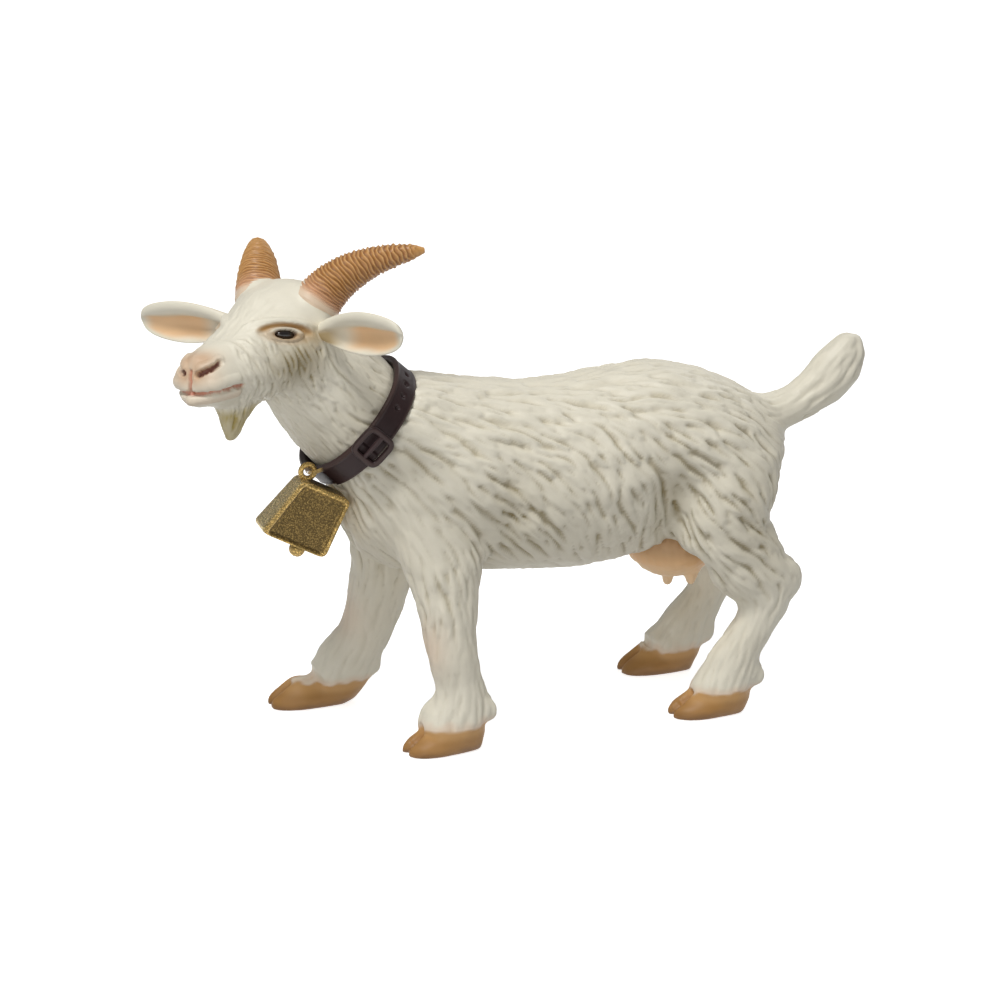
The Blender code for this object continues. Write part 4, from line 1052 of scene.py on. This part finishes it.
def buckle():
    """A rounded frame with a ridge round its bars, and a prong across it."""
    point, tangent, out = (v[0] for v in collar_place(np.array([BUCKLE_ANGLE])))
    middle = point + out * (BUCKLE_LIFT + BUCKLE_THICKNESS / 2)
    turn, section = circle(240), circle(24)
    path_x = squared(np.cos(turn), 0.4) * (BUCKLE_LENGTH - BUCKLE_BAR) / 2
    path_y = squared(np.sin(turn), 0.4) * (BUCKLE_WIDTH - BUCKLE_BAR) / 2
    centre = middle + tangent * path_x[:, None] + COLLAR_ALONG * path_y[:, None]
    flat = unit(np.roll(centre, -1, 0) - np.roll(centre, 1, 0))
    aside = np.cross(flat, out)
    wide = squared(np.cos(section), 0.7) * BUCKLE_BAR / 2
    tall = squared(np.sin(section), 0.7) * BUCKLE_THICKNESS / 2
    rows = centre[:, None] + aside[:, None] * wide[:, None] + out * tall[:, None]
    # painted highlight on the buckle's outer face
    colour = mixed(COLLAR_BROWN, COLLAR_HIGHLIGHT, smoothstep(0.7, 1.0, np.sin(section)) * 0.35)
    finish = painted("buckle_finish", 0.38, 0.25, 0.4, 0.2, 0.25)
    settle(ring_object("painted_buckle", rows, colour), "goat", "collar_buckle", finish)
    t = np.linspace(-1, 1, 60)
    reach = BUCKLE_LENGTH / 2 - BUCKLE_BAR * 0.4
    spine = middle + tangent * (t * reach)[:, None] + out * (0.12 + 0.1 * np.cos(t * 1.5))[:, None]
    taper = np.sqrt(np.clip(1 - np.abs(t) ** 8, 0.04, 1)) * (0.32 - 0.05 * t)
    ways = COLLAR_ALONG * np.cos(section)[:, None] + out * 0.75 * np.sin(section)[:, None]
    prong = grid_object("painted_prong", spine[:, None] + ways * taper[:, None, None], COLLAR_BROWN * 1.3)
    settle(prong, "goat", "buckle_prong", finish)


# ---- Bell ---------------------------------------------------------------------------------------
BELL_PIVOT = np.array([-26.05, -4.9, 36.05])
BELL_TILT = math.radians(28)
BELL_TURN = np.array(Matrix.Rotation(BELL_TILT, 3, "Y"))
BELL_LENGTH, BELL_HEIGHT = 6.8, 7.8
BELL_FRONT_SPREAD, BELL_BACK_SPREAD = 2.2, 0.1
BELL_TOP_DEPTH, BELL_BOTTOM_DEPTH = 3.8, 5.0
BELL_WALL, BELL_CROWN_DROP, BELL_FRONT_REACH = 0.5, 0.9, 0.6
BELL_AROUND, BELL_SQUARE, BELL_CORNER = 288, 0.16, 0.75
CROWN_ROWS, SIDE_ROWS, INNER_ROWS = 14, 90, 40
EYE_RING, EYE_WIRE = 0.85, 0.34
CLAPPER_RADIUS, CLAPPER_DROP, CLAPPER_BACK, CLAPPER_STEM = 1.0, 9.3, 3.2, 0.35
# gold paint, with the colours of its painted shade and painted highlight
GOLD, GOLD_SHADE, GOLD_HIGHLIGHT = np.array([(0.40, 0.27, 0.09), (0.10, 0.065, 0.02), (1.0, 0.84, 0.48)])


def on_bell(rows):
    return placed(rows, BELL_TURN, BELL_PIVOT)


def bell_ring(drop, inset):
    """One level of the shell, as a rounded rectangle; also how far round it each point lies."""
    share = np.clip((drop - BELL_CROWN_DROP) / BELL_HEIGHT, 0, 1)
    corner = np.clip(abs(share - 0.5) * 10 - 4, 0, 1)  # 1 at the crown and the mouth
    rounding = BELL_CORNER * (1 - math.sqrt(1 - corner**2))
    front = rounding + inset - BELL_FRONT_REACH - BELL_FRONT_SPREAD * share
    back = BELL_LENGTH - BELL_FRONT_REACH + BELL_BACK_SPREAD * share - inset - rounding
    half = (BELL_TOP_DEPTH + (BELL_BOTTOM_DEPTH - BELL_TOP_DEPTH) * share) / 2 - inset
    c, s = np.cos(circle(BELL_AROUND)), np.sin(circle(BELL_AROUND))
    x = (front + back) / 2 + squared(c, BELL_SQUARE) * (back - front) / 2
    y = squared(s, BELL_SQUARE) * half
    return x, y, (x - front) / (back - front), np.abs(s) ** BELL_SQUARE


def bell_shell():
    """A flared cast shell: sunken faces inside raised rims, a bead down its near front edge; painted shade
    inside, on the crown and in the sunken faces, painted highlights on the front edge and the bead.
    """
    mouth = BELL_CROWN_DROP + BELL_HEIGHT
    down = np.concatenate([
        np.full(CROWN_ROWS, BELL_CROWN_DROP), np.linspace(BELL_CROWN_DROP, mouth, SIDE_ROWS),
        np.linspace(mouth, BELL_CROWN_DROP + BELL_WALL, INNER_ROWS),
    ])
    inset = np.concatenate([
        np.linspace(1.75, 0.22, CROWN_ROWS), np.zeros(SIDE_ROWS), np.full(INNER_ROWS, BELL_WALL),
    ])
    sides = slice(CROWN_ROWS, CROWN_ROWS + SIDE_ROWS)
    soft = np.minimum(down[sides] - BELL_CROWN_DROP, 0.4)
    inset[sides] += 0.22 * (1 - soft / 0.4) ** 2
    rows, colours = [], []
    for level, (drop, inward) in enumerate(zip(down, inset)):
        x, y, fore, side = bell_ring(drop, inward)
        share = (drop - BELL_CROWN_DROP) / BELL_HEIGHT
        outer = float(sides.start <= level < sides.stop)
        face = smoothstep(0.985, 0.999, side)
        panel = smoothstep(0.05, 0.13, fore) * smoothstep(0.97, 0.91, fore) * face
        panel = panel * smoothstep(0.06, 0.13, share) * smoothstep(0.985, 0.93, share)
        bead = np.exp(-(((fore - 0.045) / 0.035) ** 2)) * (y < 0) * face * 0.46 * outer
        y = y + np.sign(y) * (bead - panel * 0.42 * outer)
        rows.append(np.stack([x - bead * 0.3, y, np.full_like(x, -drop)], 1))
        # painted shade inside, on the crown and in the sunken faces; painted highlights on the front edge
        # and on the bead
        colours.append(layered(
            GOLD,
            (GOLD_SHADE, 0.5 * (1 - outer) + 0.85 * panel),
            (GOLD_HIGHLIGHT, smoothstep(0.03, 0.0, fore) * 0.32 * outer),
            (GOLD_HIGHLIGHT, np.clip(bead * 3, 0, 0.95)),
        ))
    piece = grid_object("painted_bell", on_bell(rows), colours)
    ring_on_bell(piece)
    settle(piece, "bell", "bell_shell", glitter("gold_glitter"))


def ring_on_bell(piece):
    """Joins the crown's eye to the shell."""
    big, small = circle(64)[:, None], circle(28)
    reach = EYE_RING + EYE_WIRE * np.cos(small)
    ways = np.broadcast_arrays(np.cos(big) * reach, EYE_WIRE * np.sin(small), np.sin(big) * reach)
    ring = ring_object("bell_eye", on_bell(np.stack(ways, -1)), GOLD * 1.2)
    bm = bmesh.new()
    bm.from_mesh(piece.data)
    bm.from_mesh(ring.data)
    bm.to_mesh(piece.data)
    bm.free()
    bpy.data.objects.remove(ring)


def clapper():
    top = BELL_CROWN_DROP + BELL_WALL + 0.3
    drop = np.linspace(top, CLAPPER_DROP + CLAPPER_RADIUS, 70)[:, None]
    ball = np.sqrt(np.clip(CLAPPER_RADIUS**2 - (drop - CLAPPER_DROP) ** 2, 0.0004, None))
    radius = np.maximum(ball, np.where(drop < CLAPPER_DROP, CLAPPER_STEM, 0.02))
    turn = circle(48)
    ways = np.broadcast_arrays(CLAPPER_BACK + radius * np.cos(turn), radius * np.sin(turn), -drop)
    piece = grid_object("painted_clapper", on_bell(np.stack(ways, -1)), GOLD)
    settle(piece, "bell", "bell_clapper", glitter("gold_glitter"))


def staple():
    """A bent wire from the strap through the bell's eye, gold where it holds the bell."""
    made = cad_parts["bell_staple"].data.copy()
    made.materials.clear()
    piece = link(bpy.data.objects.new("painted_staple", made))
    rounder = piece.modifiers.new("round", "SUBSURF")
    rounder.levels = rounder.render_levels = 2
    smooth_mesh = evaluated_copy(piece, "painted_staple")
    piece.modifiers.clear()
    piece.data = smooth_mesh
    reach = np.linalg.norm(read_points(smooth_mesh) - BELL_PIVOT, axis=1)
    write_colour(smooth_mesh, mixed(GOLD * 1.3, COLLAR_BROWN, smoothstep(1.5, 2.2, reach)))
    smooth_mesh.shade_smooth()
    settle(piece, "goat", "bell_staple", painted("staple_paint", 0.35, 0.2, 0.2, 0.2))


# ---- Finishes -----------------------------------------------------------------------------------
FINISHES = {}
ROUGHNESS_SPREAD = 0.12


def node(tree, kind, **sockets):
    made = tree.nodes.new(kind)
    for name, value in sockets.items():
        made.inputs[name.replace("_", " ")].default_value = value
    return made


def texture(tree, kind, **sockets):
    """A texture that sits still on the object."""
    made = node(tree, kind, **sockets)
    place = tree.nodes.new("ShaderNodeTexCoord")
    tree.links.new(place.outputs["Object"], made.inputs["Vector"])
    return made


def spread(tree, value, **sockets):
    """A texture's value brought into a range."""
    made = node(tree, "ShaderNodeMapRange", **sockets)
    tree.links.new(value, made.inputs["Value"])
    return made.outputs["Result"]


def new_finish(name, **sockets):
    material = FINISHES[name] = bpy.data.materials.new(name)
    material.use_nodes = True
    for socket, value in sockets.items():
        material.node_tree.nodes["Principled BSDF"].inputs[socket.replace("_", " ")].default_value = value
    return material


def wire(tree, strength, gloss, height, bump):
    """Brings the sculpted paint times a strength, the gloss and the bumps to the shader."""
    shader = tree.nodes["Principled BSDF"]
    paint = tree.nodes.new("ShaderNodeAttribute")
    paint.attribute_name = "paint"
    scaled = tree.nodes.new("ShaderNodeVectorMath")
    scaled.operation = "SCALE"
    for source, target in (
        (paint.outputs["Color"], scaled.inputs[0]), (strength, scaled.inputs["Scale"]),
        (scaled.outputs["Vector"], shader.inputs["Base Color"]), (gloss, shader.inputs["Roughness"]),
        (height, bump.inputs["Height"]), (bump.outputs["Normal"], shader.inputs["Normal"]),
    ):
        tree.links.new(source, target)


def painted(name, roughness, grain, bump_strength, variation, shine=0.5):
    """Satin paint over moulded plastic: the sculpted paint, a fine mottle and a slight orange peel."""
    if name in FINISHES:
        return FINISHES[name]
    material = new_finish(name, Specular_IOR_Level=shine)
    tree = material.node_tree
    mottle = texture(tree, "ShaderNodeTexNoise", Scale=520.0, Detail=4.0, Roughness=0.6).outputs["Fac"]
    fine = texture(tree, "ShaderNodeTexNoise", Scale=1000.0 / grain * 0.35, Detail=2.0, Roughness=0.5)
    strength = spread(tree, mottle, To_Min=1 - variation, To_Max=1 + variation * 0.6)
    low, high = max(0.03, roughness - ROUGHNESS_SPREAD), roughness + ROUGHNESS_SPREAD
    gloss = spread(tree, mottle, To_Min=low, To_Max=high)
    bump = node(tree, "ShaderNodeBump", Strength=bump_strength, Distance=0.00004)
    wire(tree, strength, gloss, fine.outputs["Fac"], bump)
    return material


def glitter(name):
    """Gold paint full of coarse flakes that each tilt and shine their own way."""
    if name in FINISHES:
        return FINISHES[name]
    material = new_finish(name, Metallic=0.75)
    tree = material.node_tree
    flakes = texture(tree, "ShaderNodeTexVoronoi", Scale=9000.0)
    grain = texture(tree, "ShaderNodeTexNoise", Scale=3600.0, Detail=3.0, Roughness=0.7)
    split = tree.nodes.new("ShaderNodeSeparateColor")
    tree.links.new(flakes.outputs["Color"], split.inputs["Color"])
    strength = spread(tree, split.outputs["Red"], From_Min=0.55, To_Min=0.65, To_Max=2.1)
    gloss = spread(tree, split.outputs["Green"], To_Min=0.28, To_Max=0.55)
    bump = node(tree, "ShaderNodeBump", Strength=0.85, Distance=0.00012)
    wire(tree, strength, gloss, grain.outputs["Fac"], bump)
    return material


def settle(piece, body_name, node_name, material):
    """Says what a piece moves with and what it is painted with, and hides the node that it takes the place
    of.
    """
    piece.data.materials.clear()
    piece.data.materials.append(material)
    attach(piece, body_name)
    if node_name is not None:
        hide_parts(node_name)


# ---- Stage --------------------------------------------------------------------------------------
CAMERA_TARGET = Vector((-0.003355, 0.00187, 0.0286))
CAMERA_DISTANCE = 0.35
CAMERA_TURN, CAMERA_HEIGHT = math.radians(-17.5), math.radians(17)
PICTURE_SCALE = 7.9  # thousandths of the picture's width for each millimetre at the target
STAGE_REACH = 1.8  # metres
SKY_STRENGTH = 0.33
# Name, place, size in metres and watts
LAMPS = [
    ("key", (-0.17, -0.15, 0.46), 0.12, 1.2), ("fill", (-0.20, -0.34, 0.05), 0.2, 0.3),
    ("rim", (0.30, 0.28, 0.30), 0.20, 0.3),
]


def aimed(obj, place, target):
    obj.location = place
    obj.rotation_euler = (target - place).to_track_quat("-Z", "Y").to_euler()


def lamp(name, place, size, watts):
    light = bpy.data.lights.new(name, "AREA")
    light.energy = watts
    light.size = size
    aimed(link(bpy.data.objects.new(name, light)), Vector(place), CAMERA_TARGET)


def stage():
    lens = bpy.data.cameras.new("camera")
    lens.lens = lens.sensor_width * CAMERA_DISTANCE / MM * PICTURE_SCALE / 1000
    lens.clip_start = 0.01
    camera = link(bpy.data.objects.new("camera", lens))
    flat = math.cos(CAMERA_HEIGHT)
    back = Vector((math.sin(CAMERA_TURN) * flat, -math.cos(CAMERA_TURN) * flat, math.sin(CAMERA_HEIGHT)))
    aimed(camera, CAMERA_TARGET + back * CAMERA_DISTANCE, CAMERA_TARGET)
    bpy.context.scene.camera = camera
    world = bpy.data.worlds.new("studio")
    world.use_nodes = True
    sky = world.node_tree.nodes["Background"]
    sky.inputs["Color"].default_value = (1.0, 1.0, 1.0, 1.0)
    sky.inputs["Strength"].default_value = SKY_STRENGTH
    bpy.context.scene.world = world
    bpy.context.scene.view_settings.view_transform = "Standard"
    for name, place, size, watts in LAMPS:
        lamp(name, place, size, watts)
    floor_mesh = bpy.data.meshes.new("floor")
    corners = [(-1, -1), (1, -1), (1, 1), (-1, 1)]
    floor_mesh.from_pydata([(x * STAGE_REACH, y * STAGE_REACH, 0) for x, y in corners], [], [(0, 1, 2, 3)])
    floor = pale_stage("floor", floor_mesh, 0.93, 0.77)
    bm = bmesh.new()
    bmesh.ops.create_uvsphere(bm, u_segments=48, v_segments=24, radius=STAGE_REACH)
    dome = pale_stage("dome", mesh_of(bm, "dome"), 0.0, 1.0)
    dome.visible_shadow = dome.visible_glossy = False


def pale_stage(name, mesh, brightness, glow):
    """A plain pale part of the studio, which looks bright but lights nothing from below."""
    pale = (brightness, brightness, brightness, 1.0)
    white = (1.0, 1.0, 1.0, 1.0)
    mesh.materials.append(new_finish(
        f"{name}_paint", Base_Color=pale, Roughness=0.8, Emission_Color=white, Emission_Strength=glow
    ))
    made = link(bpy.data.objects.new(name, mesh))
    made.visible_diffuse = False
    return made


# ---- Everything together ------------------------------------------------------------------------
LEG_NODES = ["front_leg_left", "front_leg_right", "hind_leg_left", "hind_leg_right"]


def main():
    stage()
    rng = np.random.default_rng(SEED)
    coarse = coarse_form()
    body = sculpted_body(refined(coarse, BODY_VOXEL), rng)
    face = sculpted_head(refined(coarse, HEAD_VOXEL, (NECK_CUT - NECK_AXIS * 1.5, -NECK_AXIS)), rng)
    bpy.data.objects.remove(coarse)
    pieces = cut_pieces(body, ["torso", "tail", *LEG_NODES])
    pieces.update(cut_pieces(face, ["head"]))
    coat = painted("coat_paint", 0.5, 0.14, 0.3, 0.07)
    for name, piece in pieces.items():
        settle(piece, "goat", name, coat)
    for label, side in (("left", 1), ("right", -1)):
        horn(label, side)
        ear(label, side)
        eyeball(label, side)
    for make in (udder, strap, buckle, bell_shell, clapper, staple):
        make()


main()
